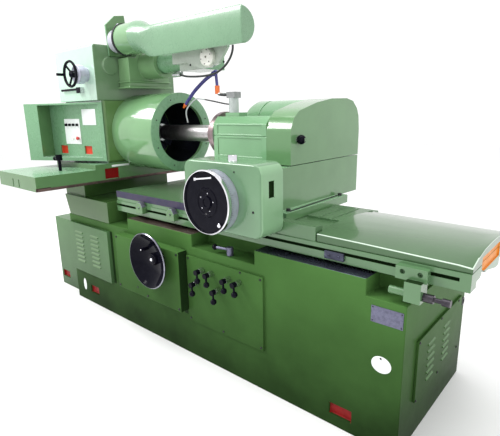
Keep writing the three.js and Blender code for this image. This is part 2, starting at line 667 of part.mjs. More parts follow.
// Clamp lever of the workhead slide, on the tray in front of the console
function makeClampLever() {
  const x = headRight - clampLever.in;
  const y = -clampLever.y;
  const z = trayTop + seat;
  const hubFoot = z + clampLever.studTall;
  const hubMid = hubFoot + clampLever.hubTall / 2;
  const end = [x - clampLever.rodLength, y + clampLever.hubRadius, hubMid - clampLever.ballRadius];
  return join(rod(clampLever.studRadius, 'z', -clampLever.studTall - over, 0, [x, y, hubFoot + over], 14),
    rod(clampLever.hubRadius, 'z', -clampLever.hubTall, 0, [x, y, hubFoot + clampLever.hubTall], 18),
    bar(clampLever.rodRadius, [x, y, hubMid], end, 10), ball(clampLever.ballRadius, end));
}

// Chuck guard: an open drum with an inward lip, screwed to the headstock face
const guardBack = headRight + seat;

function makeGuard() {
  const inside = guard.radius - guard.wall;
  const mouth = guard.radius - guard.lip;
  return turned([[guard.radius, 0], [guard.radius, guard.length], [mouth, guard.length],
    [mouth, guard.length - guard.lipThick], [inside, guard.length - guard.lipThick], [inside, 0],
    [guard.radius, 0]], 'x', [guardBack, 0, spindleHeight], wheelSides);
}

function makeChuck() {
  const at = [guardBack + seat, 0, spindleHeight];
  const face = chuck.shaftLength + chuck.thick;
  const plate = turned([[chuck.bore, 0], [chuck.shaftRadius, 0], [chuck.shaftRadius, chuck.shaftLength],
    [chuck.radius, chuck.shaftLength], [chuck.radius, face], [chuck.bore, face], [chuck.bore, 0]], 'x', at,
      wheelSides);
  let made = plate;
  for (let i = 0; i < chuck.jawCount; i += 1) {
    const tall = face + chuck.jawTall;
    const step = face + chuck.jawStepTall;
    const jaw = alongY([[face - over, chuck.jawIn], [face - over, chuck.jawOut], [tall, chuck.jawOut],
      [tall, chuck.jawStepIn], [step, chuck.jawStepIn], [step, chuck.jawIn]], -chuck.jawWide / 2,
        chuck.jawWide / 2);
    made = made.add(jaw.rotate([(360 * i) / chuck.jawCount, 0, 0]).translate(at));
  }
  return made;
}

// End-face grinding unit on top of the headstock

function makeFaceBox() {
  const left = headLeft - faceBox.left - tray.stripIn;
  const b = faceBox.bevel;
  const top = faceTop - b;
  const outline = [[-faceBox.front, faceBottom], [faceBox.back, faceBottom], [faceBox.back, top],
    [faceBox.back - b, faceTop], [-faceBox.front + b, faceTop], [-faceBox.front, top]];
  const cap = rod(sideCap.radius, 'x', -over, sideCap.out, [headRight, -sideCap.y, faceBottom + sideCap.up],
    28);
  return join(alongX(outline, left, headRight), cap);
}

const saddleLeft = headRight + seat;
const sleeveEnd = saddleLeft + saddle.out + ram.sleeveLength;

function makeSaddle() {
  const half = saddle.width / 2;
  const foot = faceBottom + saddle.bottom;
  const right = saddleLeft + saddle.out;
  const body = block(saddleLeft, right, -half, half, foot, foot + saddle.height);
  const crown = rod(saddle.crownRadius, 'x', 0, saddle.out, [saddleLeft, 0, ramAxis], wheelSides);
  const flange = block(saddleLeft, right + saddle.flangeOut, -half - saddle.flangeOut,
    half + saddle.flangeOut,
    foot, foot + saddle.flangeTall);
  const ledge = block(saddleLeft, right + saddle.ledgeOut, -half - saddle.ledgeOut, half + saddle.ledgeOut,
    foot + saddle.ledgeUp, foot + saddle.ledgeUp + saddle.ledgeTall);
  const sleeve = rod(ram.sleeveRadius, 'x', 0, ram.sleeveLength + over, [right - over, 0, ramAxis],
    wheelSides);
  const bore = rod(ram.radius + slip, 'x', 0, sleeveEnd - saddleLeft + 2 * over,
    [saddleLeft - over, 0, ramAxis], wheelSides);
  return cut(join(body, crown, flange, ledge, sleeve), bore);
}

const faceWheelX = headLeft + faceWheel.x;
const faceWheelZ = faceBottom + faceWheel.axisUp;

function makeFaceDial() {
  const at = [faceWheelX, -faceBox.front - seat, faceWheelZ];
  return turned([[0, 0], [0, -faceWheel.dialOut], [faceWheel.dialRadius * 0.8, -faceWheel.dialOut],
    [faceWheel.dialRadius, -faceWheel.dialOut * 0.9], [faceWheel.dialRadius, -faceWheel.dialOut * 0.35],
    [faceWheel.dialRadius * 0.75, -faceWheel.dialOut * 0.3], [faceWheel.dialRadius * 0.75, 0], [0, 0]], 'y',
      at, 28);
}

function ringOf(radius, thick, at, sides) {
  const g = new THREE.TorusGeometry(radius, thick, 6, sides);
  return solid(g.rotateX(turn / 4).translate(...at));
}

function makeFaceHandwheel() {
  const rimY = -faceBox.front - faceWheel.rimOut;
  const hubBack = -faceBox.front - 2 * seat - faceWheel.dialOut;
  const at = [faceWheelX, rimY, faceWheelZ];
  let made = rod(faceWheel.hubRadius, 'y', -faceWheel.hubLength, 0, [faceWheelX, hubBack, faceWheelZ], 18);
  made = made.add(ringOf(faceWheel.rimRadius - faceWheel.rimTube, faceWheel.rimTube, at, wheelSides));
  for (let i = 0; i < faceWheel.spokeCount; i += 1) {
    const a = (turn * (i + 0.1)) / faceWheel.spokeCount;
    const reach = faceWheel.rimRadius - faceWheel.rimTube;
    const end = [faceWheelX + reach * Math.cos(a), rimY, faceWheelZ + reach * Math.sin(a)];
    made = made.add(bar(faceWheel.spokeRadius, [faceWheelX, hubBack - faceWheel.hubLength / 2, faceWheelZ],
      end, 8));
  }
  const grip = [faceWheelX - faceWheel.rimRadius + faceWheel.rimTube, rimY, faceWheelZ];
  return made.add(rod(faceWheel.gripRadius, 'y', -faceWheel.gripLength, 0, grip, 12));
}

function makeRamClamp() {
  const x = headLeft + ramClamp.x;
  const z = faceBottom + ramClamp.up;
  const face = -faceBox.front - seat;
  const hub = block(x - ramClamp.hub, x + ramClamp.hub / 2, face - ramClamp.hubOut, face,
    z - ramClamp.hub / 2, z + ramClamp.hub / 2);
  const y = face - ramClamp.hubOut / 2;
  return join(hub, bar(ramClamp.rodRadius, [x, y, z + over], [x - ramClamp.rodLength, y, z + over], 12));
}

function makeRamBar() {
  const start = saddleLeft + ram.back;
  return rod(ram.radius, 'x', 0, ram.length, [start, 0, ramAxis], wheelSides);
}

// Bracket: a clamp block on the ram, and a deep plate in front of it that carries the hood
const plateFront = -arm.front + arm.depth + seat;

function makeBracket() {
  const x = saddleLeft + bracket.hubStart;
  const half = bracket.hubTall / 2;
  const hub = block(x, x + bracket.hubLength, -bracket.hubWide, bracket.hubWide, ramAxis - half,
    ramAxis + half);
  const web = block(x + over, x + bracket.hubLength, plateFront + over, -bracket.hubWide + over,
    ramAxis - half / 2, ramAxis + half / 2);
  const left = saddleLeft + bracket.plateStart;
  const right = left + bracket.plateLength;
  const top = ramAxis + bracket.plateTop;
  const foot = ramAxis - bracket.plateFoot;
  const at = (share) => left + bracket.plateLength * share;
  const plate = alongY([[at(0.01), ramAxis - bracket.plateFoot * 0.55], [at(bracket.footShare), foot],
    [at(bracket.footShare + 0.2), foot], [at(0.79), ramAxis - bracket.plateFoot * 0.8],
    [right, ramAxis + bracket.endUp], [right, top], [left, top]], plateFront,
      plateFront + bracket.plateThick);
  const bore = rod(ram.radius + seat, 'x', -over, saddleLeft + ram.back + ram.length + seat - x,
    [x, 0, ramAxis], wheelSides);
  return cut(join(hub, web, plate), bore);
}

const motorLeft = headRight + arm.motorGap;
const armLeft = motorLeft + faceMotor.rearLength + faceMotor.drumLength + seat;
const armRight = armLeft + arm.length;

// Section of the hood: round where it takes over from the motor, then flat in front and round behind
function hoodSection(flat, inset) {
  const mix = (round, hood) => round + (hood - round) * flat;
  const r = faceMotor.drumRadius + seat;
  const mid = mix(-faceMotor.y, -arm.front + arm.bulge);
  const ahead = mix(r, arm.bulge) - inset * mix(1, 0.5);
  const behind = mix(r, arm.depth - arm.bulge) - inset;
  const centre = ramAxis + mix(faceMotor.up, (arm.top + arm.bottom) / 2);
  const half = mix(r, (arm.top - arm.bottom) / 2) - inset;
  const points = [];
  for (let i = 0; i < shaftSides; i += 1) {
    const a = (turn * i) / shaftSides;
    points.push([mid + Math.cos(a) * (Math.cos(a) > 0 ? behind : ahead), centre + Math.sin(a) * half]);
  }
  return points;
}

function makeArm() {
  const stations = [];
  const blendSteps = 4;
  for (let i = 0; i <= blendSteps; i += 1) {
    const share = i / blendSteps;
    const flat = share * share * (3 - 2 * share);
    stations.push({ x: armLeft + share * arm.blendLength, points: hoodSection(flat, 0) });
  }
  stations.push({ x: armRight - arm.edge, points: hoodSection(1, 0) });
  stations.push({ x: armRight, points: hoodSection(1, arm.edge) });
  const pocketLeft = armLeft + arm.pocketStart;
  const low = ramAxis + arm.bottom;
  const hollow = block(pocketLeft, pocketLeft + arm.pocketLength, -arm.front + arm.wall,
    -arm.front + arm.depth / 2, low - over, ramAxis + arm.pocketTop);
  return cut(loft(stations), hollow);
}

function makeFaceMotor() {
  const m = faceMotor;
  const at = [motorLeft, -m.y, ramAxis + m.up];
  const end = m.rearLength + m.drumLength;
  const body = turned([[0, 0], [m.rearRadius * 0.8, 0], [m.rearRadius, m.ringLength],
    [m.rearRadius, m.rearLength - m.ringLength], [m.ringRadius, m.rearLength - m.ringLength],
    [m.ringRadius, m.rearLength], [m.drumRadius, m.rearLength], [m.drumRadius, end], [0, end]], 'x', at,
      wheelSides);
  const eye = [at[0] + lug.along, at[1], at[2] + m.rearRadius + lug.radius / 2];
  const g = new THREE.TorusGeometry(lug.radius - lug.tube, lug.tube, 6, 14);
  return join(body, solid(g.rotateX(turn / 4).translate(...eye)));
}

const makeMotorMount = () => alongX(mountShares.map(([back, up]) => [
  -mount.front + back * (mount.front - mount.back), faceBottom + mount.foot + up * (mount.top - mount.foot)]),
headRight + seat, headRight + seat + mount.thick);

function makeFaceDisc() {
  const at = [saddleLeft + disc.along, plateFront - seat - disc.out, ramAxis - disc.drop];
  return turned([[disc.hole, 0], [disc.radius - disc.rim, 0], [disc.radius, disc.rim],
    [disc.radius, disc.out],
    [disc.hole, disc.out], [disc.hole, 0]], 'y', at, 32);
}

// The cord starts at a gland under the ram and hangs in a loop up to the underside of the hood
function makeCable() {
  const start = saddleLeft + gland.start;
  const low = ramAxis - gland.drop;
  const body = rod(gland.radius, 'x', 0, gland.length, [start, -gland.y, low], 16);
  const foot = block(start + over, start + gland.length - over, -gland.y, -gland.y + gland.footWide, low,
    ramAxis - ram.radius - seat);
  const from = [start + gland.length - cable.start, -gland.y, low];
  const to = [armLeft + cable.along, -arm.front + cable.in, ramAxis + arm.bottom - seat];
  const path = cableShares.map((shares) => shares.map((share, i) => from[i] + share * (to[i] - from[i])));
  return join(body, foot, tube(path, cable.radius, 32, 8));
}

// Table: flat on top, its front rail overlapping the way, with a sunk bed for the wheelhead

const wellRight = tableLeft + table.wellLeft + table.wellLength;
const tableFoot = tableBottom - table.skirt;

// A shallow recess in the right end of the table and of its cover
function endRecess() {
  const foot = tableBottom + table.recessUp;
  return block(tableRight - table.recessDeep, tableRight + over, -table.recessFront, table.recessBack, foot,
    foot + table.recessTall);
}

// A pad with two grooves in the well, at the right of the wheelhead
function makeWellPad() {
  const left = tableLeft + table.padLeft;
  const top = wellFloor + table.padTall;
  const pad = block(left, left + table.padLength, -table.padFront, table.padBack, wellFloor - over, top);
  const third = table.padLength / 3;
  const groove = (x) => block(x - table.padGroove, x + table.padGroove, -table.padFront - over,
    table.padBack + over, top - table.padGroove, top + over);
  return cut(pad, groove(left + third), groove(left + 2 * third));
}

function makeTable() {
  const skirtBack = -bed.waySpan / 2 - table.skirtGap;
  const vee = bed.veeWide / 2 + slip * 2;
  const profile = (top) => [
    [tableFront, tableFoot], [skirtBack, tableFoot], [skirtBack, tableBottom],
      [-bed.veeOffset - vee, tableBottom],
    [-bed.veeOffset, tableBottom + bed.veeRise + slip * 2], [-bed.veeOffset + vee, tableBottom],
    [tableBack, tableBottom], [tableBack, top], [tableFront, top]];
  const full = alongX(profile(tableTop), tableLeft, wellRight);
  const low = alongX(profile(tableBottom + endCover.base), wellRight - over, tableRight);
  const rail = block(tableLeft, tableRight, tableFront - table.railOut, tableFront + over, tableFoot,
    tableFoot + table.railTall);
  const well = block(tableLeft + table.wellLeft, wellRight + over, tableFront + table.rimWide,
    tableBack + over, wellFloor, tableTop + over);
  const slotFoot = tableFoot + table.slotUp;
  const slot = block(tableLeft - over, tableRight - table.slotEnd, tableFront - table.railOut - over,
    tableFront - table.railOut + table.slotDeep, slotFoot, slotFoot + table.slotTall);
  const dark = block(tableLeft, tableLeft + table.barLength, tableFront - table.barOut, tableFront + over,
    tableTop - table.barTall, tableTop);
  const lugFoot = tableBottom - table.lugDrop;
  const endLug = alongX([[table.lugSlope - table.lugFront, lugFoot], [table.lugBack, lugFoot],
    [table.lugBack, tableBottom + over], [-table.lugFront, tableBottom + over],
      [-table.lugFront, tableBottom]],
  tableRight - table.lugLength, tableRight);
  return join(cut(join(full, low, rail, dark, endLug), well, slot, endRecess()), makeWellPad());
}

function makeTableCover() {
  const foot = tableBottom + endCover.base + seat;
  const left = wellRight + endCover.gap;
  const wide = tableBack - tableFront;
  const stations = endCoverAlongShares.map((along, s) => {
    const top = endCoverShares.map(([across, ...up]) => [tableFront + across * wide,
      tableBottom + up[s] * endCover.crown]);
    return {
      x: left + along * (tableRight - left),
      points: [[tableFront, foot], [tableBack, foot], ...top.reverse()],
    };
  });
  return cut(loft(stations), endRecess());
}

// Trip dogs: T-slot clamps on the table rail, and the bracket with the stop screw at the right

const railFace = tableFront - table.railOut;
const slotMid = tableFoot + table.slotUp + table.slotTall / 2;

function makeDog(index) {
  const x = tableLeft + dog.first + index * dog.step;
  const face = railFace - seat;
  const nose = face - dog.out;
  const foot = slotMid - dog.tall / 4;
  const body = alongY([[x, foot], [x + dog.wide, foot], [x + dog.wide, foot + dog.tall * 0.6],
    [x + dog.wide * 0.7, foot + dog.tall], [x + dog.wide * 0.3, foot + dog.tall],
    [x, foot + dog.tall * 0.6]], nose, face, 2);
  const tongue = block(x + over, x + dog.wide - over, face - over, face + dog.tongue,
    slotMid - table.slotTall / 2 + seat, slotMid + table.slotTall / 2 - seat);
  const bolt = rod(table.slotTall / 2, 'y', -over, over, [x + dog.wide / 2, nose, foot + dog.tall / 2],
    pinSides);
  return join(body, tongue, bolt);
}

const stopX = tableRight - stopBracket.in;
const stopZ = slotMid + stopBracket.tall / 3 - stopBracket.tall - stopBracket.dropTall * 0.7;
const stopY = railFace - seat - stopBracket.out;

function makeStopBracket() {
  const top = slotMid + stopBracket.tall / 3;
  const foot = top - stopBracket.tall;
  const back = railFace - seat;
  const plate = block(stopX, stopX + stopBracket.wide, back - stopBracket.out, back, foot, top);
  const dropX = stopX + stopBracket.dropIn;
  const drop = block(dropX, dropX + stopBracket.dropWide, stopY - stopBracket.out, back,
    foot - stopBracket.dropTall,
    foot + over);
  const tongue = block(stopX + over, stopX + stopBracket.wide - over, back - over, back + dog.tongue,
    slotMid - table.slotTall / 2 + seat, slotMid + table.slotTall / 2 - seat);
  const pin = rod(stopBracket.pinRadius, 'x', -stopBracket.pinLength, over, [dropX, stopY, stopZ], 16);
  let made = join(plate, drop, tongue, pin);
  for (const x of [stopX + stopBracket.holeIn, stopX + stopBracket.wide - stopBracket.holeIn]) {
    made = made.subtract(rod(stopBracket.holeRadius, 'y', -over, stopBracket.out / 2,
      [x, stopY, top - stopBracket.tall * 0.4], pinSides));
  }
  const bore = rod(stopScrew.radius + slip, 'x', -stopBracket.dropWide / 2, over,
    [dropX + stopBracket.dropWide, stopY, stopZ], 14);
  return cut(made, bore);
}

function makeStopScrew() {
  const face = stopX + stopBracket.dropIn + stopBracket.dropWide + seat;
  const shank = stopBracket.dropWide / 2 - over;
  return turned([[0, -shank], [stopScrew.radius, -shank], [stopScrew.radius, 0], [stopScrew.knurlRadius, 0],
    [stopScrew.knurlRadius, stopScrew.knurlLength], [stopScrew.radius, stopScrew.knurlLength],
    [stopScrew.radius, stopScrew.length - stopScrew.endLength],
    [stopScrew.endRadius, stopScrew.length - stopScrew.endLength], [stopScrew.endRadius, stopScrew.length],
    [0, stopScrew.length]], 'x', [face, stopY, stopZ], 18);
}

function makeEndLever() {
  const y = tableFront + table.rimWide / 2;
  const z = tableBottom + table.thick - endLever.up;
  const x = tableLeft - seat - endLever.hubOut;
  const hub = rod(endLever.hubRadius, 'x', 0, endLever.hubOut, [x, y, z], 14);
  const end = [x + endLever.hubOut / 3, y, z - endLever.drop];
  return join(hub, bar(endLever.rodRadius, [end[0], y, z], end, 10), ball(endLever.ballRadius, end));
}

// Cross-feed apron on the front of the table, with its graduated handwheel

const apronBack = tableFront - seat;
const apronFace = apronBack - apron.front;
const apronFoot = tableBottom + apron.bottom;
const apronLeft = tableLeft + apron.left;
const crossX = apronLeft + crossWheel.along;
const crossZ = apronFoot + crossWheel.up;

function makeApron() {
  const right = apronLeft + apron.length;
  const top = apronFoot + apron.height;
  const b = apron.bevel;
  const outline = () => rounded(apronLeft, right, apronFoot, top, apron.corner);
  const front = alongY(outline(), apronFace, apronBack - b, b);
  const back = alongY(outline(), apronFace + apron.front / 2, apronBack);
  const windowFoot = apronFoot + apron.windowUp;
  const window = block(right - apron.windowDeep, right + over,
    apronBack - apron.windowBack - apron.windowWide,
    apronBack - apron.windowBack, windowFoot, windowFoot + apron.windowTall);
  const cup = rod(apron.cupRadius, 'z', -apron.cupTall, over,
    [apronLeft + apron.cupAlong, apronFace + apron.front / 3, top - over + apron.cupTall], 20);
  return cut(join(front, back, cup), window);
}

function makeCrossDial() {
  const r = crossWheel.dialRadius;
  const w = crossWheel.dialWall;
  return turned([[0, 0], [r, 0], [r, -crossWheel.dialOut], [r - w, -crossWheel.dialOut], [r - w, -w],
    [0, -w], [0, 0]],
    'y', [crossX, apronFace - seat, crossZ], wheelSides);
}

const handleX = crossX - crossWheel.handleLeft;
const handleZ = crossZ + crossWheel.handleAt;
const crossRimY = apronFace - 2 * seat - crossWheel.dialOut - crossWheel.rimWide;

function makeCrossWheel() {
  const back = -seat;
  const front = back - crossWheel.rimWide;
  const dish = front + crossWheel.dishDeep;
  const at = [crossX, apronFace - seat - crossWheel.dialOut, crossZ];
  const r = crossWheel.rimRadius;
  const lip = crossWheel.hubOut;
  const wheel = turned([[0, back], [r - lip, back], [r, back - lip], [r, front + lip / 2],
    [r - lip / 2, front],
    [r - lip * 1.6, front], [r - lip * 2, dish], [crossWheel.hubRadius, dish],
    [crossWheel.hubRadius, dish - lip], [0, dish - lip]], 'y', at, wheelSides);
  const post = rod(crossWheel.handleRadius, 'y', 0, crossWheel.dishDeep + over,
    [handleX, crossRimY, handleZ], pinSides);
  return join(wheel, post);
}

function makeCrank() {
  const r = crossWheel.handleRadius;
  const y = crossRimY - seat - r;
  const pivot = rod(r, 'z', -r, r, [handleX, y, handleZ], 14);
  return join(pivot, bar(r * 0.7, [handleX, y, handleZ],
    [handleX + crossWheel.handleLength, y, handleZ + crossWheel.handleRise], 10));
}

// Table handwheel: a deep bowl on a hub, with a round grip
const drivePanelFace = bedFront - seat - apronBox.out;
const tableWheelX = bedLeft + apronBox.left + tableWheel.along;
const tableWheelZ = apronBox.bottom + tableWheel.up;

function makeTableWheel() {
  const hubBack = -seat;
  const hubFront = hubBack - tableWheel.hubLength * 0.55;
  const rim = hubBack - tableWheel.hubLength - tableWheel.rimTube;
  const r = tableWheel.rimRadius;
  const w = tableWheel.wall;
  const cone = r * 0.62;
  const at = [tableWheelX, drivePanelFace, tableWheelZ];
  const bowl = turned([[0, hubBack], [tableWheel.hubRadius, hubBack], [tableWheel.hubRadius, hubBack - w],
    [cone, hubBack - w * 1.6], [r - w, rim + w * 2], [r, rim + w], [r, rim], [r - w, rim - w / 3],
      [r - 2 * w, rim + w],
    [cone - w, hubBack - w * 2.8], [tableWheel.hubRadius, hubBack - w * 2], [tableWheel.hubRadius, hubFront],
    [0, hubFront]], 'y', at, wheelSides);
  const a = turn * 0.36;
  const reach = tableWheel.handleAt * 0.64;
  const grip = [at[0] + reach * Math.cos(a), at[1] + hubBack - w * 2, at[2] + reach * Math.sin(a)];
  return join(bowl, rod(tableWheel.handleRadius, 'y', -tableWheel.handleLength, 0, grip, 14));
}

// Wheelhead: carriage across the table, spindle housing, quill, motor and belt cover

const housingFoot = carriageTop + seat;
const housingRight = carriageLeft + housing.length;

function makeCarriage() {
  const foot = tableTop + slip;
  const flangeFoot = wellFloor + slip;
  const body = block(carriageLeft, carriageRight, -carriage.front, carriage.back, foot, carriageTop);
  const flange = block(carriageLeft + carriage.flangeOver / 2, carriageRight + carriage.flangeOver,
    -carriage.flangeFront, carriage.flangeBack, flangeFoot, flangeFoot + carriage.flangeTall + over);
  let made = join(body, flange);
  for (const y of [-carriage.flangeFront + carriage.flangeOver, carriage.flangeBack - carriage.flangeOver]) {
    const at = [carriageRight + carriage.flangeOver / 2, y, flangeFoot + carriage.flangeTall + over];
    made = made.add(rod(carriage.boltRadius, 'z', -over, carriage.boltTall, at, 6));
  }
  return made;
}

function makeHousing() {
  const half = housing.width / 2;
  const top = spindleHeight + housing.top;
  const low = top - housing.shoulderIn - over / 2;
  const wide = half + housing.footOut;
  const ledge = housingFoot + housing.footTall + seat;
  const body = alongX([[-wide, housingFoot], [wide, housingFoot], [wide, ledge], [half, ledge], [half, low],
    [half - housing.shoulderIn, top], [-half + housing.shoulderIn, top], [-half, low], [-half, ledge],
    [-wide, ledge]], carriageLeft, housingRight);
  const face = -half;
  const left = carriageLeft + housing.panelIn;
  const right = housingRight - housing.panelIn;
  const gap = housing.panelGap / 2;
  const recess = (z0, z1) => block(left, right, face - over, face + housing.panelDeep, z0, z1);
  const seam = block(carriageLeft - over, housingRight + over, face - over, face + housing.panelDeep,
    spindleHeight - housing.seam, spindleHeight);
  const bore = rod(quill.bore, 'x', -over, housing.length + over, [carriageLeft, 0, spindleHeight],
    shaftSides);
  return cut(body, recess(spindleHeight + gap, low - gap), recess(ledge + 3 * gap, spindleHeight - 2 * gap),
    seam, bore);
}

function makeQuill() {
  const end = -seat;
  const nose = end - quill.noseLength;
  const step = nose - quill.stepLength;
  const collar = step - quill.collarLength;
  return turned([[quill.bore, end], [quill.noseRadius, end], [quill.noseRadius, nose],
    [quill.stepRadius, nose],
    [quill.stepRadius, step], [quill.collarRadius, step], [quill.collarRadius, collar],
      [quill.radius, collar],
    [quill.radius, -quill.length], [quill.bore, -quill.length], [quill.bore, end]], 'x',
    [carriageLeft, 0, spindleHeight], wheelSides);
}

const beltLeft = housingRight + pulley.gap;
const beltRight = beltLeft + pulley.width;

// Two beads beside the flat belt keep it on the pulley
function pulleyProfile(radius, length) {
  const rim = radius + pulley.beltIn / 2;
  return [[radius, 0], [rim, 0], [rim, pulley.beltThick], [radius, pulley.beltThick],
    [radius, length - pulley.beltThick], [rim, length - pulley.beltThick], [rim, length]];
}

function makeArbor() {
  const at = [carriageLeft, 0, spindleHeight];
  const a = arbor;
  const wheelEnd = -quill.length - 2 * seat;
  const wheelStart = wheelEnd - a.reach + a.nutLength;
  const belt = beltLeft - carriageLeft;
  const pulleyTurn = pulleyProfile(pulley.radius, pulley.width).map(([r, h]) => [r, h + belt]);
  return turned([[0, wheelStart - a.wheelLength - a.nutLength],
    [a.nutRadius, wheelStart - a.wheelLength - a.nutLength],
    [a.nutRadius, wheelStart - a.wheelLength], [a.wheelRadius, wheelStart - a.wheelLength],
    [a.wheelRadius, wheelStart], [a.radius, wheelStart], [a.radius, belt], ...pulleyTurn,
    [0, belt + pulley.width]], 'x', at, wheelSides);
}

const motorX = carriageLeft + motor.left;
const motorZ = carriageTop + motor.up;

function makeMotor() {
  const m = motor;
  const r = m.radius;
  const inner = r - m.grooveDeep;
  const shaft = housingRight + pulley.gap - motorX - seat;
  const at = [motorX, m.y, motorZ];
  const body = turned([[0, 0], [r - m.dome, 0], [r - m.dome * 0.3, m.dome * 0.3], [r, m.dome], [r, m.groove],
    [inner, m.groove], [inner, m.groove + m.grooveWide], [r, m.groove + m.grooveWide], [r, m.length],
    [m.shaftRadius, m.length], [m.shaftRadius, shaft], [0, shaft]], 'x', at, wheelSides);
  const foot = block(motorX + m.dome, motorX + m.length - m.dome, m.y - m.footWide / 2, m.y + m.footWide / 2,
    housingFoot, motorZ);
  return join(body, foot);
}

function makeMotorPulley() {
  const profile = pulleyProfile(pulley.motorRadius, pulley.width);
  return turned([[0, 0], ...profile, [0, pulley.width]], 'x', [beltLeft, motor.y, motorZ], wheelSides);
}

// The flat belt runs round both pulleys along their outer tangents
function makeBelt() {
  const r0 = pulley.radius + 2 * slip;
  const r1 = pulley.motorRadius + 2 * slip;
  const dy = motor.y;
  const dz = motorZ - spindleHeight;
  const reach = Math.hypot(dy, dz);
  const lean = Math.atan2(dz, dy);
  const spread = Math.acos((r0 - r1) / reach);
  const loop = (thick) => {
    const outline = [];
    const steps = 18;
    for (let i = 0; i <= steps; i += 1) {
      const a = lean + spread + ((turn - 2 * spread) * i) / steps;
      outline.push([(r0 + thick) * Math.cos(a), spindleHeight + (r0 + thick) * Math.sin(a)]);
    }
    for (let i = 0; i <= steps; i += 1) {
      const a = lean - spread + (2 * spread * i) / steps;
      outline.push([dy + (r1 + thick) * Math.cos(a), motorZ + (r1 + thick) * Math.sin(a)]);
    }
    return outline;
  };
  const inset = pulley.beltThick + seat;
  const outer = alongX(loop(pulley.beltThick), beltLeft + inset, beltRight - inset);
  const inner = alongX(loop(0), beltLeft, beltRight);
  return cut(outer, inner);
}

// Belt cover: a shell open towards the wheelhead, hinged at the back, with a ball knob
const coverLeft = housingRight + seat;
const coverRight = coverLeft + beltCover.length;
const coverFoot = housingFoot + beltCover.footGap;

function makeBeltCover() {
  const w = beltCover.wall;
  const wide = beltCover.front + beltCover.back;
  const outline = beltCoverShares.map(([back, up]) => [-beltCover.front + back * wide,
    coverFoot + up * beltCover.tall]);
  const inside = beltCoverShares.map(([back, up], i) => [outline[i][0] + (back < 0.5 ? w : -w),
    outline[i][1] + (up ? -w : w)]);
  const shell = cut(alongX(outline, coverLeft, coverRight), alongX(inside, coverLeft - over, coverRight - w));
  const hinge = rod(beltCover.hingeRadius, 'z', -beltCover.hingeLength, 0,
    [coverLeft + beltCover.hingeRadius, beltCover.back, coverFoot + 2 * beltCover.hingeLength], 14);
  const at = [coverRight + knob.radius * 0.8, -knob.y, carriageTop + knob.up];
  return join(shell, hinge, rod(knob.neck, 'x', -knob.radius, 0, at, 14), ball(knob.radius, at, 18));
}

// Coolant: a valve on the housing, a jointed hose and a thin spray pipe

const valveFoot = spindleHeight + housing.top + seat;
const valveX = carriageLeft + valve.x;
const valveY = -valve.y;
const valveTop = valveFoot + valve.baseTall + valve.bodyTall;
const onCoolant = (shares, path, foot) => shares.map(([out, up]) => [valveX - out * path.reach, valveY,
  foot + up * path.rise]);
const elbowPath = onCoolant(elbowShares, elbow, valveTop + valve.headTall / 2);
const elbowEnd = elbowPath[elbowPath.length - 1];
const hosePath = hoseShares.map(([out, down]) => new THREE.Vector3(
  elbowEnd[0] - hose.crownOut - out * hose.reach, valveY, elbowEnd[2] + hose.crownUp - down * hose.drop));

// The valve, with the elbow pipe, its fitting and the swivel head that holds the hose, and the thin spray
// pipe
function makeValve() {
  const base = block(valveX - valve.baseWide / 2, valveX + valve.baseWide, valveY - valve.baseWide / 2,
    valveY + valve.baseWide / 2, valveFoot, valveFoot + valve.baseTall);
  const body = rod(valve.bodyRadius, 'z', -valve.bodyTall - over, 0, [valveX, valveY, valveTop], 20);
  const head = block(valveX - valve.headWide / 2, valveX + valve.headWide / 2, valveY - valve.bodyRadius,
    valveY + valve.bodyRadius, valveTop - over, valveTop + valve.headTall);
  const fitting = rod(hose.fittingRadius, 'z', -hose.fittingTall, over, elbowEnd, 14);
  const away = hosePath[1].clone().sub(hosePath[0]).normalize();
  const mouth = hosePath[0].clone().addScaledVector(away, -seat).toArray();
  const back = hosePath[0].clone().addScaledVector(away, -seat - hose.headWide).toArray();
  const swivel = join(bar(hose.fittingRadius, mouth, back, 14), ball(hose.fittingRadius, back, 14),
    bar(hose.radius, elbowEnd, back, 14));
  return join(base, body, head, fitting, swivel, tube(elbowPath, valve.pipeRadius, 10, 10),
    tube(onCoolant(sprayShares, spray, valveFoot), spray.radius, 28, 6));
}

// A jointed hose: each rib is one ball joint, and the bore runs through to the nozzle tip
function makeHose() {
  const path = new THREE.CatmullRomCurve3(hosePath, false, 'centripetal');
  const length = path.getLength();
  const end = path.getPointAt(1);
  const way = path.getTangentAt(1);
  const ribs = Math.floor((length - 2 * hose.radius) / hose.ribStep);
  const rings = [];
  const ringAt = (along, radius) => {
    const past = Math.max(0, along - length);
    const u = Math.min(1, along / length);
    const centre = past ? end.clone().addScaledVector(way, past) : path.getPointAt(u);
    rings.push({ centre, way: past ? way : path.getTangentAt(u), radius });
  };
  ringAt(0, hose.radius);
  for (let i = 0; i < ribs; i += 1) {
    ringAt(hose.radius + (i + 0.1) * hose.ribStep, hose.radius);
    ringAt(hose.radius + (i + 0.6) * hose.ribStep, hose.radius + hose.ribRise);
  }
  ringAt(length, hose.radius);
  ringAt(length, hose.nozzleRadius);
  ringAt(length + hose.nozzleLength, hose.nozzleRadius);
  ringAt(length + hose.nozzleLength + hose.tipLength, hose.tipRadius);
  ringAt(length + hose.nozzleLength + hose.tipLength, hose.tipBore);
  ringAt(length + hose.nozzleLength, hose.tipBore);
  for (let along = length; along > 0; along -= hose.ribStep * 5) ringAt(along, hose.bore);
  ringAt(0, hose.bore);
  return rounds(rings, 8);
}

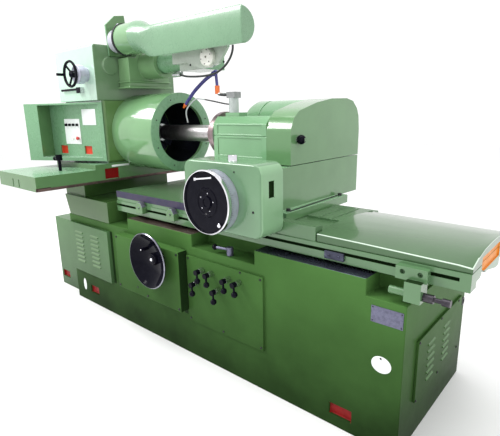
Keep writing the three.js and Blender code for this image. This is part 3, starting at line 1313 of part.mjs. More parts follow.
add('bed_casting', makeBed(), deepEnamel);
add('electrical_cabinet', makeCabinet(), deepEnamel);
add('louvre_door', makeDoor(), enamel);
add('table_drive_apron', makeTableDriveApron(), enamel);
add('lever_panel', makeLeverPanel(), enamel);
add('end_louvre_panel', makeEndPanel(), deepEnamel);
leverPlaces.forEach((place, i) => add(`control_lever_${i + 1}`, makeControlLever(place), bakelite));
add('reversing_lever', makeReverser(), castGrey);
add('table_handwheel', makeTableWheel(), bakelite);
add('workhead_bridge', makeBridge(), deepEnamel);
add('workhead_slide', makeTray(), enamel);
add('headstock_housing', makeHeadstock(), enamel);
add('control_console', makeConsole(), enamel);
add('switch_plate', makeSwitchPlate(), bakelite, panel);
for (let i = 0; i < 4; i += 1) add(`selector_switch_${i + 1}`, makeSelector(i), bakelite, panel);
add('stop_button', makeStopButton(), redPlastic, panel);
add('slide_clamp_lever', makeClampLever(), steel);
add('chuck_guard', makeGuard(), enamel);
add('work_chuck', makeChuck(), steel);
add('face_unit_box', makeFaceBox(), enamel);
add('ram_saddle', makeSaddle(), enamel);
add('face_feed_dial', makeFaceDial(), steel);
add('face_handwheel', makeFaceHandwheel(), bakelite);
add('ram_clamp_lever', makeRamClamp(), bakelite);
add('ram_bar', makeRamBar(), enamel);
add('ram_bracket', makeBracket(), whitePaint);
add('arm_housing', makeArm(), enamel);
add('face_motor', makeFaceMotor(), castGrey);
add('motor_mount_plate', makeMotorMount(), enamel);
add('face_spindle_disc', makeFaceDisc(), whitePaint);
add('cable_loop', makeCable(), rubber);
add('sliding_table', makeTable(), enamel);
add('table_end_cover', makeTableCover(), enamel);
for (let i = 0; i < 2; i += 1) add(`trip_dog_${i + 1}`, makeDog(i), enamel);
add('right_trip_bracket', makeStopBracket(), enamel);
add('stop_screw', makeStopScrew(), bakelite);
add('table_end_lever', makeEndLever(), bakelite);
add('cross_feed_apron', makeApron(), enamel);
add('cross_feed_dial', makeCrossDial(), steel);
add('cross_handwheel', makeCrossWheel(), bakelite);
add('crank_handle', makeCrank(), steel);
add('wheelhead_carriage', makeCarriage(), enamel);
add('spindle_housing', makeHousing(), enamel);
add('quill', makeQuill(), castGrey);
add('wheel_arbor', makeArbor(), abrasive);
add('wheel_motor', makeMotor(), enamel);
add('motor_pulley', makeMotorPulley(), machined);
add('drive_belt', makeBelt(), rubber);
add('belt_cover', makeBeltCover(), enamel);
add('coolant_valve', makeValve(), steel);
add('coolant_hose', makeHose(), hosePlastic);

export default machine;
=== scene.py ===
import json
import math

import bmesh
import bpy
from mathutils import Matrix, Vector


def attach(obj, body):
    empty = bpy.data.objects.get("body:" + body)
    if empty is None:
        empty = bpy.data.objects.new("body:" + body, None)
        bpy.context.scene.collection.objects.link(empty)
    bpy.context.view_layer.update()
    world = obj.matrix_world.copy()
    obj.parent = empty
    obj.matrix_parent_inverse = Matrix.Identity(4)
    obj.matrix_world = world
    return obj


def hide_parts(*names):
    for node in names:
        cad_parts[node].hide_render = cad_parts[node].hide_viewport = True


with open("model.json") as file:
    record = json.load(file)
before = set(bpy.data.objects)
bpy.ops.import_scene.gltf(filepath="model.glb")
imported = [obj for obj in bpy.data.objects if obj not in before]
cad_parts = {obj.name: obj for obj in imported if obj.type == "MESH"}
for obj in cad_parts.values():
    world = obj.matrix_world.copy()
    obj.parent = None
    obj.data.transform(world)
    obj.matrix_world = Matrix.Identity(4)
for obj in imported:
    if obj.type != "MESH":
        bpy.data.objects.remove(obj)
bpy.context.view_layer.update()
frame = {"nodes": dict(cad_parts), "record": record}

# The camera stands at the right front of the machine, a little above the work axis.
# Its place, lens and slight roll were solved from the photograph's straight edges.
azimuth, elevation, roll = (math.radians(a) for a in (41.427, 13.887, -1.138))
camera_at = (1.657, -1.703, 1.250)
ahead = Vector((-math.sin(azimuth) * math.cos(elevation), math.cos(azimuth) * math.cos(elevation),
                -math.sin(elevation)))
level = Vector((math.cos(azimuth), math.sin(azimuth), 0))
upright = level.cross(ahead)
right = level * math.cos(roll) + upright * math.sin(roll)
up = upright * math.cos(roll) - level * math.sin(roll)
lens = bpy.data.cameras.new("photo_view")
lens.sensor_fit = "HORIZONTAL"
lens.sensor_width = 36
lens.lens = 31.363
lens.clip_end = 60
viewer = bpy.data.objects.new("photo_view", lens)
viewer.matrix_world = Matrix.Translation(camera_at) @ Matrix(
    ((right.x, up.x, -ahead.x, 0), (right.y, up.y, -ahead.y, 0), (right.z, up.z, -ahead.z, 0), (0, 0, 0, 1)))
bpy.context.scene.collection.objects.link(viewer)
bpy.context.scene.camera = viewer

# Motor cable: a black rubber cord of 10 mm that leaves a gland under the ram and hangs in
# one loop up to the underside of the hood. Its points are shares along, out and up.
cable_from = (-318.7, -20, 1453)
cable_to = (262.3, -214, 1530.7)
cable_shares = [(0, 0, 0), (0.041, 0.155, -0.05), (0.111, 0.32, -0.13), (0.258, 0.454, -0.31),
                (0.489, 0.567, -0.41), (0.651, 0.66, -0.373), (0.764, 0.747, -0.245), (0.872, 0.85, 0.026),
                (0.958, 0.943, 0.425), (0.996, 0.995, 0.772), (1, 1, 1)]
cable_route = [[a + share * (b - a) for a, b, share in zip(cable_from, cable_to, shares)]
               for shares in cable_shares]


def smooth_route(points, steps):
    """A centripetal Catmull-Rom line through the points, in metres."""
    p = [Vector(q) / 1000 for q in points]
    p = [p[0] * 2 - p[1]] + p + [p[-1] * 2 - p[-2]]
    line = []
    for i in range(1, len(p) - 2):
        t = [0.0]
        for a, b in ((i - 1, i), (i, i + 1), (i + 1, i + 2)):
            t.append(t[-1] + max((p[b] - p[a]).length ** 0.5, 1e-6))
        for s in range(steps):
            u = t[1] + (t[2] - t[1]) * s / steps
            a1 = p[i - 1].lerp(p[i], (u - t[0]) / (t[1] - t[0]))
            a2 = p[i].lerp(p[i + 1], (u - t[1]) / (t[2] - t[1]))
            a3 = p[i + 1].lerp(p[i + 2], (u - t[2]) / (t[3] - t[2]))
            b1 = a1.lerp(a2, (u - t[0]) / (t[2] - t[0]))
            b2 = a2.lerp(a3, (u - t[1]) / (t[3] - t[1]))
            line.append(b1.lerp(b2, (u - t[1]) / (t[2] - t[1])))
    line.append(p[-2])
    return line


def cord_curve(name, line, radius):
    """A round open cord along the line, as a poly spline with a bevel."""
    data = bpy.data.curves.new(name, "CURVE")
    data.dimensions = "3D"
    data.bevel_depth = radius
    data.bevel_resolution = 5
    data.use_fill_caps = True
    spline = data.splines.new("POLY")
    spline.points.add(len(line) - 1)
    for point, place in zip(spline.points, line):
        point.co = (*place, 1)
    spline.use_smooth = True
    piece = bpy.data.objects.new(name, data)
    bpy.context.scene.collection.objects.link(piece)
    return piece


def route_length(line):
    return sum((b - a).length for a, b in zip(line, line[1:]))


def node(tree, kind, **settings):
    """A shader node; a keyword that starts with in_ sets the input of that name or number."""
    made = tree.nodes.new(kind)
    for key, value in settings.items():
        if key.startswith("in_"):
            label = key[3:]
            made.inputs[int(label) if label.isdigit() else label.replace("_", " ")].default_value = value
        else:
            setattr(made, key, value)
    return made


def wire(tree, links):
    """Link nodes; each link names a node, its output, the next node and that node's input."""
    for source, output, target, into in links:
        tree.links.new(source.outputs[output], target.inputs[into])


def surface_group(name, inputs):
    """A shader group with these inputs that puts out a colour, a roughness and a height."""
    group = bpy.data.node_groups.new(name, "ShaderNodeTree")
    for label, value in inputs.items():
        kind = "NodeSocketFloat" if isinstance(value, float) else "NodeSocketColor"
        group.interface.new_socket(name=label, in_out="INPUT", socket_type=kind).default_value = value
    for label, kind in (("Color", "NodeSocketColor"), ("Roughness", "NodeSocketFloat"),
                        ("Height", "NodeSocketFloat")):
        group.interface.new_socket(name=label, in_out="OUTPUT", socket_type=kind)
    return [group] + [group.nodes.new(kind) for kind in (
        "NodeGroupInput", "NodeGroupOutput", "ShaderNodeTexCoord")]


# Handled surfaces: fine grain and soft smears that break up the gloss of rubber, plastic
# and bare metal. Every finish of the machine but the enamels takes its look from it.
handled, hs_in, hs_out, hs_place = surface_group("handled_surface", {
    "Body": (0.5, 0.5, 0.5, 1), "Smeared": (0.3, 0.3, 0.3, 1), "Smear Size": 40.0, "Smear": 0.4,
    "Gloss": 0.25, "Grain Size": 900.0})
hs_smear = node(handled, "ShaderNodeTexNoise", in_Detail=5.0, in_Roughness=0.65, in_Distortion=0.4)
hs_grain = node(handled, "ShaderNodeTexNoise", in_Detail=2.0)
hs_mask = node(handled, "ShaderNodeMapRange", in_From_Min=0.42, in_From_Max=0.68)
hs_size = node(handled, "ShaderNodeMath", operation="MULTIPLY", use_clamp=True)
hs_mix = node(handled, "ShaderNodeMix", data_type="RGBA")
hs_dull = node(handled, "ShaderNodeMath", operation="MULTIPLY_ADD", in_1=0.22)
wire(handled, [
    (hs_place, "Object", hs_smear, "Vector"), (hs_place, "Object", hs_grain, "Vector"),
    (hs_in, "Smear Size", hs_smear, "Scale"), (hs_in, "Grain Size", hs_grain, "Scale"),
    (hs_smear, "Fac", hs_mask, "Value"), (hs_mask, "Result", hs_size, 0), (hs_in, "Smear", hs_size, 1),
    (hs_size, "Value", hs_mix, "Factor"), (hs_in, "Body", hs_mix, 6), (hs_in, "Smeared", hs_mix, 7),
    (hs_mix, 2, hs_out, "Color"), (hs_size, "Value", hs_dull, 0), (hs_in, "Gloss", hs_dull, 2),
    (hs_dull, "Value", hs_out, "Roughness"), (hs_grain, "Fac", hs_out, "Height")])


def skinned(name, group, inputs, relief, depth, coat, shine):
    """A material whose colour, roughness and fine relief come from a surface group."""
    finish = bpy.data.materials.new(name)
    finish.use_nodes = True
    tree = finish.node_tree
    shader = tree.nodes["Principled BSDF"]
    skin = tree.nodes.new("ShaderNodeGroup")
    skin.node_tree = group
    for label, value in inputs.items():
        skin.inputs[label].default_value = value
    bump = node(tree, "ShaderNodeBump", in_Strength=relief, in_Distance=depth)
    wire(tree, [(skin, "Color", shader, "Base Color"), (skin, "Roughness", shader, "Roughness"),
                (skin, "Height", bump, "Height"), (bump, "Normal", shader, "Normal")])
    shader.inputs["Specular IOR Level"].default_value = shine
    shader.inputs["Coat Weight"].default_value = coat
    shader.inputs["Coat Roughness"].default_value = 0.06
    return finish


def handled_finish(name, body, smeared, gloss=0.25, metal=0.0, smear=0.5, smear_size=40.0, grain=900.0,
                   relief=0.1, coat=0.0, shine=0.5):
    """A finish on the handled surface group: metal, plastic, rubber or bare primer."""
    finish = skinned(name, handled, {
        "Body": (*body, 1), "Smeared": (*smeared, 1), "Smear Size": smear_size, "Smear": smear,
        "Gloss": gloss, "Grain Size": grain}, relief=relief, depth=0.0003, coat=coat, shine=shine)
    finish.node_tree.nodes["Principled BSDF"].inputs["Metallic"].default_value = metal
    return finish


black_rubber = handled_finish("black_rubber", (0.012, 0.012, 0.014), (0.03, 0.03, 0.032), gloss=0.42,
                              grain=500)
cable_line = smooth_route(cable_route, 6)
cable = cord_curve("motor_cable", cable_line, 0.005)
cable.data.materials.append(black_rubber)
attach(cable, "face_ram")
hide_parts("cable_loop")


# Cable gland: a bright stuffing nut where the motor cable starts, and the block that holds it
# under the ram. Turned, blocked and tubular shapes of this file are made as here.
axis_way = {"x": Vector((1, 0, 0)), "y": Vector((0, 1, 0)), "z": Vector((0, 0, 1))}
axis_side = {"x": Vector((0, 0, 1)), "y": Vector((0, 0, 1)), "z": Vector((1, 0, 0))}


def add_turned(bm, profile, axis, at, sides=48):
    """Spin a profile of (radius, distance along the axis) in mm round the axis through at."""
    place = Vector(at) / 1000
    line = [bm.verts.new(place + axis_way[axis] * h / 1000 + axis_side[axis] * r / 1000) for r, h in profile]
    edges = [bm.edges.new(pair) for pair in zip(line, line[1:])]
    bmesh.ops.spin(bm, geom=line + edges, cent=place, axis=axis_way[axis], angle=math.tau, steps=sides,
                   use_merge=True)
    bmesh.ops.remove_doubles(bm, verts=bm.verts, dist=1e-6)


def add_block(bm, low, high, bevel=0.0, segments=2, turn=0.0, about="z"):
    """A block between two corners in mm, its edges rounded, turned about its own middle."""
    mid = [(a + b) / 2000 for a, b in zip(low, high)]
    size = [(b - a) / 1000 for a, b in zip(low, high)]
    matrix = Matrix.Translation(mid) @ Matrix.Rotation(turn, 4, about.upper()) @ Matrix.Diagonal((*size, 1))
    made = bmesh.ops.create_cube(bm, size=1, matrix=matrix)
    if bevel:
        edges = list({e for v in made["verts"] for e in v.link_edges})
        bmesh.ops.bevel(bm, geom=edges, offset=bevel / 1000, offset_type="OFFSET", segments=segments,
                        profile=0.5, affect="EDGES", clamp_overlap=True, material=-1)


def add_ball(bm, radius, at, squeeze=(1, 1, 1), sides=24):
    matrix = Matrix.Translation(Vector(at) / 1000) @ Matrix.Diagonal((*squeeze, 1))
    bmesh.ops.create_uvsphere(bm, u_segments=sides, v_segments=sides // 2, radius=radius / 1000,
                              matrix=matrix)


def as_piece(bm, name, finishes, smooth):
    """Turn the bmesh into a smoothly shaded object with these finishes."""
    data = bpy.data.meshes.new(name)
    bm.to_mesh(data)
    bm.free()
    for face in data.polygons:
        face.use_smooth = True
    data.set_sharp_from_angle(angle=math.radians(smooth))
    for finish in finishes if isinstance(finishes, (list, tuple)) else [finishes]:
        data.materials.append(finish)
    piece = bpy.data.objects.new(name, data)
    bpy.context.scene.collection.objects.link(piece)
    return piece


def finished(bm, name, finishes, body, smooth=32):
    """A new piece of the bmesh that rides on a body and takes a material slot."""
    bmesh.ops.recalc_face_normals(bm, faces=bm.faces)
    piece = as_piece(bm, name, finishes, smooth)
    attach(piece, body)
    return piece


bright_steel = handled_finish("bright_steel", (0.62, 0.63, 0.65), (0.36, 0.36, 0.37), gloss=0.2, metal=1.0,
                              smear=0.4, smear_size=55)
gland_at = (-389.7, -20, 1453)
gland = bmesh.new()
add_turned(gland, [(0, 0), (10.5, 0), (13, 2.5), (13, 24), (11, 25), (11, 34), (12.9, 35), (12.9, 60),
                   (10, 64), (10, 70), (8.5, 76), (0, 76)], "x", gland_at, 24)
add_block(gland, (-383.7, -20, 1453), (-319.7, -6, 1469.7), bevel=1.2)
finished(gland, "cable_gland", bright_steel, "face_ram")

# Coolant hose: jointed plastic segments of 20 mm on the route from the valve's elbow, with
# a turned orange nozzle at the end. Its points are shares of reach and drop.
hose_y, hose_crown, hose_reach, hose_drop = -25, (-64, 1437.3), 226, 147
hose_shares = [(0, 0), (0.106, 0.061), (0.261, 0.17), (0.473, 0.36), (0.686, 0.578), (0.845, 0.789), (1, 1)]
hose_line = smooth_route([(hose_crown[0] - out * hose_reach, hose_y, hose_crown[1] - down * hose_drop)
                          for out, down in hose_shares], 24)


def along(line, distance):
    """The place and direction at a distance in metres along a line, which runs on past its end."""
    for a, b in zip(line, line[1:]):
        part = (b - a).length
        if distance <= part:
            return a + (b - a) * (distance / part), (b - a).normalized()
        distance -= part
    way = (line[-1] - line[-2]).normalized()
    return line[-1] + way * distance, way


def add_tube(bm, line, rings, sides=24):
    """Bridge circles of (distance, radius) in mm along the line into one closed skin."""
    loops = []
    for distance, radius in rings:
        at, way = along(line, distance / 1000)
        matrix = Matrix.Translation(at) @ way.to_track_quat("Z", "Y").to_matrix().to_4x4()
        ring = bmesh.ops.create_circle(bm, segments=sides, radius=radius / 1000, matrix=matrix)["verts"]
        loops.append(list({e for v in ring for e in v.link_edges}))
    for first, second in zip(loops, loops[1:] + loops[:1]):
        bmesh.ops.bridge_loops(bm, edges=first + second)


hose_core, hose_bore, rib_start, rib_pitch = 8, 5, 8, 9
rib_shape = ((0.9, hose_core), (2.2, 9.2), (3.8, 9.9), (5.4, 10), (7, 9.8), (8.4, 9), (rib_pitch, hose_core))
hose_long = route_length(hose_line) * 1000
hose_rings = [(0, hose_core)]
for rib in range(int((hose_long - 2 * rib_start) / rib_pitch)):
    foot = rib_start + rib * rib_pitch
    hose_rings += [(foot + out, radius) for out, radius in rib_shape]
hose_rings.append((hose_long, hose_core))
hose_inside = [(distance, hose_bore) for distance, radius in hose_rings[::-len(rib_shape)]] + [(0, hose_bore)]
hose = bmesh.new()
add_tube(hose, hose_line, hose_rings + hose_inside)
hose_blue = handled_finish("hose_blue_plastic", (0.025, 0.02, 0.17), (0.06, 0.05, 0.28), gloss=0.12,
                           coat=0.3)
hose = finished(hose, "coolant_hose_beads", hose_blue, "wheelhead")
nozzle = bmesh.new()
add_tube(nozzle, hose_line, [(hose_long + out, radius) for out, radius in (
    (0.1, 9), (12, 9), (13, 7.5), (28, 5), (28, 3), (12, 3), (10, 5), (0.1, 5))])
fitting_orange = handled_finish("fitting_orange", (0.80, 0.16, 0.02), (0.60, 0.10, 0.015), gloss=0.25,
                                coat=0.3)
nozzle = finished(nozzle, "coolant_hose_nozzle", fitting_orange, "wheelhead")
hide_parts("coolant_hose")
[along(hose_line, distance / 1000)[0] for distance, radius in hose_rings]

# A plain pale floor that runs under and behind the machine, and soft studio light: a large
# soft window at the operator's left, a weaker one at the right and a broad one overhead.
floor_mesh = bmesh.new()
bmesh.ops.create_grid(floor_mesh, x_segments=1, y_segments=1, size=14)
floor_data = bpy.data.meshes.new("studio_floor")
floor_mesh.to_mesh(floor_data)
floor_mesh.free()
studio_floor = bpy.data.objects.new("studio_floor", floor_data)
bpy.context.scene.collection.objects.link(studio_floor)
paper = bpy.data.materials.new("pale_paper")
paper.use_nodes = True
paper.node_tree.nodes["Principled BSDF"].inputs["Base Color"].default_value = (0.9, 0.9, 0.9, 1)
paper.node_tree.nodes["Principled BSDF"].inputs["Roughness"].default_value = 0.95
floor_data.materials.append(paper)

world = bpy.data.worlds.new("studio")
world.use_nodes = True
world.node_tree.nodes["Background"].inputs["Color"].default_value = (1, 1, 1, 1)
world.node_tree.nodes["Background"].inputs["Strength"].default_value = 1.1
bpy.context.scene.world = world
bpy.context.scene.view_settings.view_transform = "Standard"


def soft_light(name, place, target, size, power):
    lamp = bpy.data.lights.new(name, "AREA")
    lamp.shape = "RECTANGLE"
    lamp.size, lamp.size_y = size
    lamp.energy = power
    holder = bpy.data.objects.new(name, lamp)
    holder.location = place
    holder.rotation_euler = (Vector(target) - Vector(place)).to_track_quat("-Z", "Y").to_euler()
    bpy.context.scene.collection.objects.link(holder)


soft_light("left_window", (-2.4, -2.3, 3.6), (-0.9, -0.2, 1.15), (1.8, 1.4), 120)
soft_light("right_window", (3.6, -2.2, 2.6), (0.4, 0, 0.9), (2.2, 1.6), 20)
soft_light("overhead", (0.2, -0.4, 4.4), (0, 0, 0.8), (4.0, 2.4), 90)


# Enamel: the thick glossy green of the castings. The skin group gives every green its faint cloudiness,
# orange peel, paler rubbed edges that are partly wear and partly a painted highlight, and a painted shade
# towards the floor.
paint_skin, ps_in, ps_out, ps_place = surface_group("paint_skin", {
    "Paint": (0.2, 0.4, 0.2, 1), "Worn Sheen": (0.3, 0.4, 0.3, 1), "Cloud": 0.12, "Wear Sheen": 0.4, "Gloss": 0.25,
    "Shade": 0.0})
cloud = node(paint_skin, "ShaderNodeTexNoise", in_Scale=3.1, in_Detail=4.0, in_Roughness=0.6)
peel = node(paint_skin, "ShaderNodeTexNoise", in_Scale=340.0, in_Detail=2.0)
smear = node(paint_skin, "ShaderNodeTexNoise", in_Scale=26.0, in_Detail=5.0, in_Roughness=0.7)
tone = node(paint_skin, "ShaderNodeMapRange", in_From_Min=0.3, in_From_Max=0.7, in_To_Min=-1.0, in_To_Max=1.0)
tone_size = node(paint_skin, "ShaderNodeMath", operation="MULTIPLY_ADD", in_2=1.0)
# Painted shade: the colour darkens towards the floor by the Shade amount.
height_of = node(paint_skin, "ShaderNodeSeparateXYZ")
dim = node(paint_skin, "ShaderNodeMapRange", in_From_Min=0.06, in_From_Max=0.68, in_To_Min=1.0, in_To_Max=0.0)
dim_size = node(paint_skin, "ShaderNodeMath", operation="MULTIPLY")
dim_left = node(paint_skin, "ShaderNodeMath", operation="SUBTRACT")
tinted = node(paint_skin, "ShaderNodeVectorMath", operation="SCALE")
# Paler rubbed edges: partly wear, partly a painted highlight along the convex edges.
edge = node(paint_skin, "ShaderNodeNewGeometry")
edge_mask = node(paint_skin, "ShaderNodeMapRange", in_From_Min=0.6, in_From_Max=0.75)
rubbed_sheen = node(paint_skin, "ShaderNodeMath", operation="MULTIPLY")
rubbed_sheen_size = node(paint_skin, "ShaderNodeMath", operation="MULTIPLY", use_clamp=True)
final = node(paint_skin, "ShaderNodeMix", data_type="RGBA")
dull = node(paint_skin, "ShaderNodeMath", operation="MULTIPLY_ADD", in_1=0.16)
wire(paint_skin, [
    (ps_place, "Object", cloud, "Vector"), (ps_place, "Object", peel, "Vector"),
    (ps_place, "Object", smear, "Vector"), (ps_place, "Object", height_of, "Vector"),
    (cloud, "Fac", tone, "Value"), (tone, "Result", tone_size, 0), (ps_in, "Cloud", tone_size, 1),
    (height_of, "Z", dim, "Value"), (dim, "Result", dim_size, 0), (ps_in, "Shade", dim_size, 1),
    (tone_size, "Value", dim_left, 0), (dim_size, "Value", dim_left, 1),
    (ps_in, "Paint", tinted, 0), (dim_left, "Value", tinted, "Scale"),
    (edge, "Pointiness", edge_mask, "Value"), (edge_mask, "Result", rubbed_sheen, 0), (smear, "Fac", rubbed_sheen, 1),
    (rubbed_sheen, "Value", rubbed_sheen_size, 0), (ps_in, "Wear Sheen", rubbed_sheen_size, 1),
    (rubbed_sheen_size, "Value", final, "Factor"), (tinted, "Vector", final, 6), (ps_in, "Worn Sheen", final, 7),
    (final, 2, ps_out, "Color"), (smear, "Fac", dull, 0), (ps_in, "Gloss", dull, 2),
    (dull, "Value", ps_out, "Roughness"), (peel, "Fac", ps_out, "Height")])


def painted(name, paint, worn_sheen=None, gloss=0.16, cloud_size=0.1, wear_sheen=0.5, shade=0.0, coat=0.4,
            shine=0.5, ior=1.5):
    """An enamel: its colour, its paler rubbed edges that are partly a painted highlight, how far painted
    shade darkens it towards the floor and how it shines.
    """
    worn_sheen = worn_sheen or tuple(min(1, c * 1.6 + 0.08) for c in paint)
    finish = skinned(name, paint_skin, {
        "Paint": (*paint, 1), "Worn Sheen": (*worn_sheen, 1), "Cloud": cloud_size, "Wear Sheen": wear_sheen, "Gloss": gloss,
        "Shade": shade}, relief=0.12, depth=0.0004, coat=coat, shine=shine)
    finish.node_tree.nodes["Principled BSDF"].inputs["IOR"].default_value = ior
    return finish


def shaped(name, width, finishes, areas=(), segments=2, sharp=35, smooth=32):
    """A CAD solid, merged, with its corners rounded by a width in mm.

    The first finish covers it. Each area is a test on a face's middle in mm and its
    outward direction, and takes the next finish. Where areas meet, the last one wins.
    """
    source = frame["nodes"][name]
    bm = bmesh.new()
    bm.from_mesh(source.data)
    bmesh.ops.remove_doubles(bm, verts=bm.verts, dist=2e-5)
    bmesh.ops.dissolve_limit(bm, angle_limit=math.radians(0.6), verts=bm.verts, edges=bm.edges)
    corners = [e for e in bm.edges if len(e.link_faces) == 2 and e.calc_face_angle(0) > math.radians(sharp)]
    bmesh.ops.bevel(bm, geom=corners, offset=width / 1000, offset_type="OFFSET", segments=segments,
                    profile=0.5, affect="EDGES", clamp_overlap=True, material=-1)
    piece = as_piece(bm, name + "_finished", finishes, smooth)
    for face in piece.data.polygons:
        for number, holds in enumerate(areas):
            if holds(face.center * 1000, face.normal):
                face.material_index = number + 1
    even = piece.modifiers.new("even_flats", "WEIGHTED_NORMAL")
    even.keep_sharp = True
    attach(piece, body_of[name])
    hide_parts(name)
    return piece


# The body of each CAD solid, and the finishes that pieces share.
body_of = {part: body for body, parts in frame["record"]["behaviour"]["bodies"].items() for part in parts}
light_enamel = painted("light_green_enamel", (0.16, 0.32, 0.18), gloss=0.2, coat=0.15)
mid_enamel = painted("green_enamel", (0.09, 0.19, 0.075), coat=0.2)
deep_enamel = painted("deep_green_enamel", (0.05, 0.115, 0.03), coat=0.1, shine=0.3)
# The bed's green darkens towards the floor: painted shade.
bed_enamel = painted("bed_green_enamel", (0.064, 0.155, 0.040), shade=0.76, gloss=0.24, coat=0.0,
                     shine=0.2, ior=1.14)
red_primer = handled_finish("red_primer", (0.22, 0.004, 0.004), (0.08, 0.002, 0.002), gloss=0.4,
                            smear_size=30, shine=0.2)
dark_iron = handled_finish("scraped_iron", (0.13, 0.085, 0.075), (0.05, 0.035, 0.035), gloss=0.32, metal=0.75,
                           smear=0.8, smear_size=22, relief=0.2)
blued_iron = handled_finish("oiled_iron", (0.08, 0.085, 0.13), (0.03, 0.03, 0.045), gloss=0.25, metal=0.8,
                            smear=0.7, smear_size=18, relief=0.2)

# Bed: one iron box casting, filled and enamelled, with ground ways and two raised pads whose
# tops are bare. Its two lifting pockets are painted with red primer.
pad_top, way_top, bed_face, pad_middle = 665, 700, -355, 200
pocket_wide, pocket_tall = 98, 50


def inside(c, low, high):
    """Whether a face's middle lies between two corners, in mm."""
    return all(a < v < b for a, v, b in zip(low, c, high))


def front_pocket(c, face, left, foot):
    """Whether a face's middle lies in the lifting pocket at this place on a front face."""
    return inside(c, (left, face + 0.8, foot), (left + pocket_wide, face + 15, foot + pocket_tall))


shaped("bed_casting", 4, [bed_enamel, dark_iron, blued_iron, red_primer, bright_steel], areas=[
    lambda c, n: n.z > 0.9 and abs(c.z - pad_top) < 1 and c.x < pad_middle,
    lambda c, n: n.z > 0.9 and abs(c.z - pad_top) < 1 and c.x > pad_middle,
    lambda c, n: front_pocket(c, bed_face, -978, 78) or front_pocket(c, bed_face, 874, 50),
    lambda c, n: n.z > 0.5 and c.z > way_top - 1])

# Bed trim: two near-black strips that paint the shadow in channels of the bed front, one as a dark band
# beside the louvred door and one that shows just below the table-drive apron, and a rubber grommet high on
# the right end.
channels = bmesh.new()
add_block(channels, (-666, bed_face - 0.6, 221), (-645, bed_face + 2, 554), bevel=0.8)
add_block(channels, (0, bed_face - 0.6, 225), (26, bed_face + 2, 579), bevel=0.8)
# Near-black enamel that paints the shadow in channels, gaps and holes.
channel_dark = painted("channel_shadow_enamel", (0.012, 0.028, 0.009), coat=0.0, shine=0.1, ior=1.14)
finished(channels, "bed_channels", channel_dark, "base")
grommet = bmesh.new()
add_turned(grommet, [(11, 0.3), (19, 0.3), (21, 2), (19, 5), (13, 5), (11, 3), (11, 0.3)], "x",
           (1160, 322, 381), 32)
finished(grommet, "end_grommet", black_rubber, "base")


def add_screw(bm, at, axis, out, radius):
    """A round screw head with a socket in it, standing out of a face."""
    tall = radius * 0.55 * out
    add_turned(bm, [(0, tall * 0.3), (radius * 0.45, tall * 0.3), (radius * 0.45, tall), (radius * 0.8, tall),
                    (radius, tall * 0.6), (radius, -0.2 * out)], axis, at, 18)


# Nameplate and tags: a bare blue-grey plate held by four pins, and two blank white oval
# tags, of which the large one hangs on a dark pin.
plate_metal = handled_finish("etched_plate", (0.14, 0.14, 0.21), (0.08, 0.08, 0.12), gloss=0.3, metal=0.6,
                             smear_size=90, smear=0.7)
white_tag = handled_finish("white_tag", (0.74, 0.77, 0.76), (0.60, 0.63, 0.63), gloss=0.3, smear=0.3)
black_oxide = handled_finish("black_oxide", (0.012, 0.013, 0.015), (0.03, 0.03, 0.03), gloss=0.35, shine=0.3)
usual_head = 5.5


def screwed(name, body, axis, out, screws):
    """A piece of black screws that stand out of a face, each a place and a head radius in mm."""
    bm = bmesh.new()
    for at, radius in screws:
        add_screw(bm, at, axis, out, radius)
    finished(bm, name, black_oxide, body)


plate_face = bed_face - 1.8
plate = bmesh.new()
add_block(plate, (1034, plate_face, 511), (1152, bed_face + 0.4, 574), bevel=0.7)
finished(plate, "bare_nameplate", plate_metal, "base")
screwed("plate_pins", "base", "y", -1,
        [((x, plate_face, z), 2.4) for x in (1040, 1146) for z in (517, 568)]
        + [((1080, bed_face - 2.4, 377), 3.5)])
tags = bmesh.new()
for tag_x, tag_z, wide, tall in ((1082, 352, 38, 33), (-1052, 115, 18, 41)):
    bmesh.ops.create_uvsphere(tags, u_segments=40, v_segments=20, radius=1, matrix=Matrix.Translation(
        (tag_x / 1000, (bed_face - 0.2) / 1000, tag_z / 1000)) @ Matrix.Diagonal(
            (wide / 1000, 0.0022, tall / 1000, 1)))
finished(tags, "blank_tags", white_tag, "base")

# Electrical cabinet: a folded sheet steel box bolted to the left end of the bed, with a
# lifting pocket in red primer low on its front.
cabinet_face = -305
# Its green darkens towards the floor: painted shade.
cabinet_enamel = painted("cabinet_green_enamel", (0.095, 0.20, 0.08), shade=0.6, coat=0.0, shine=0.3, ior=1.3)
shaped("electrical_cabinet", 3, [cabinet_enamel, red_primer], areas=[
    lambda c, n: front_pocket(c, cabinet_face, -1470.3, 62)])

# Louvred door: pressed steel sheet with two rows of louvres, hung on the bed front. Its sheet darkens towards
# the floor as painted shade, and its upward louvre lips take a paler green, a painted highlight where they
# catch the light.
lit_lip_enamel = painted("lit_louvre_lip_enamel", (0.13, 0.25, 0.10), shade=0.3, wear_sheen=0.9, shine=0.3)
shaped("louvre_door", 1.2, [cabinet_enamel, lit_lip_enamel], areas=[
    lambda c, n: c.y < bed_face - 23 and n.z > 0.1])

# Table-drive apron: the cast gearbox of the table handwheel, on the bed front, closed by
# six socket screws and an oil plug.
apron_face = -412.3
# Its right side takes the near-black painted shadow.
shaped("table_drive_apron", 4, [bed_enamel, channel_dark], areas=[lambda c, n: n.x > 0.8])
screwed("table_drive_screws", "base", "y", -1,
        [((x, apron_face, z), 6.5) for z in (563, 271) for x in (-506, -240, 26)]
        + [((-330, apron_face, 300), 5)])

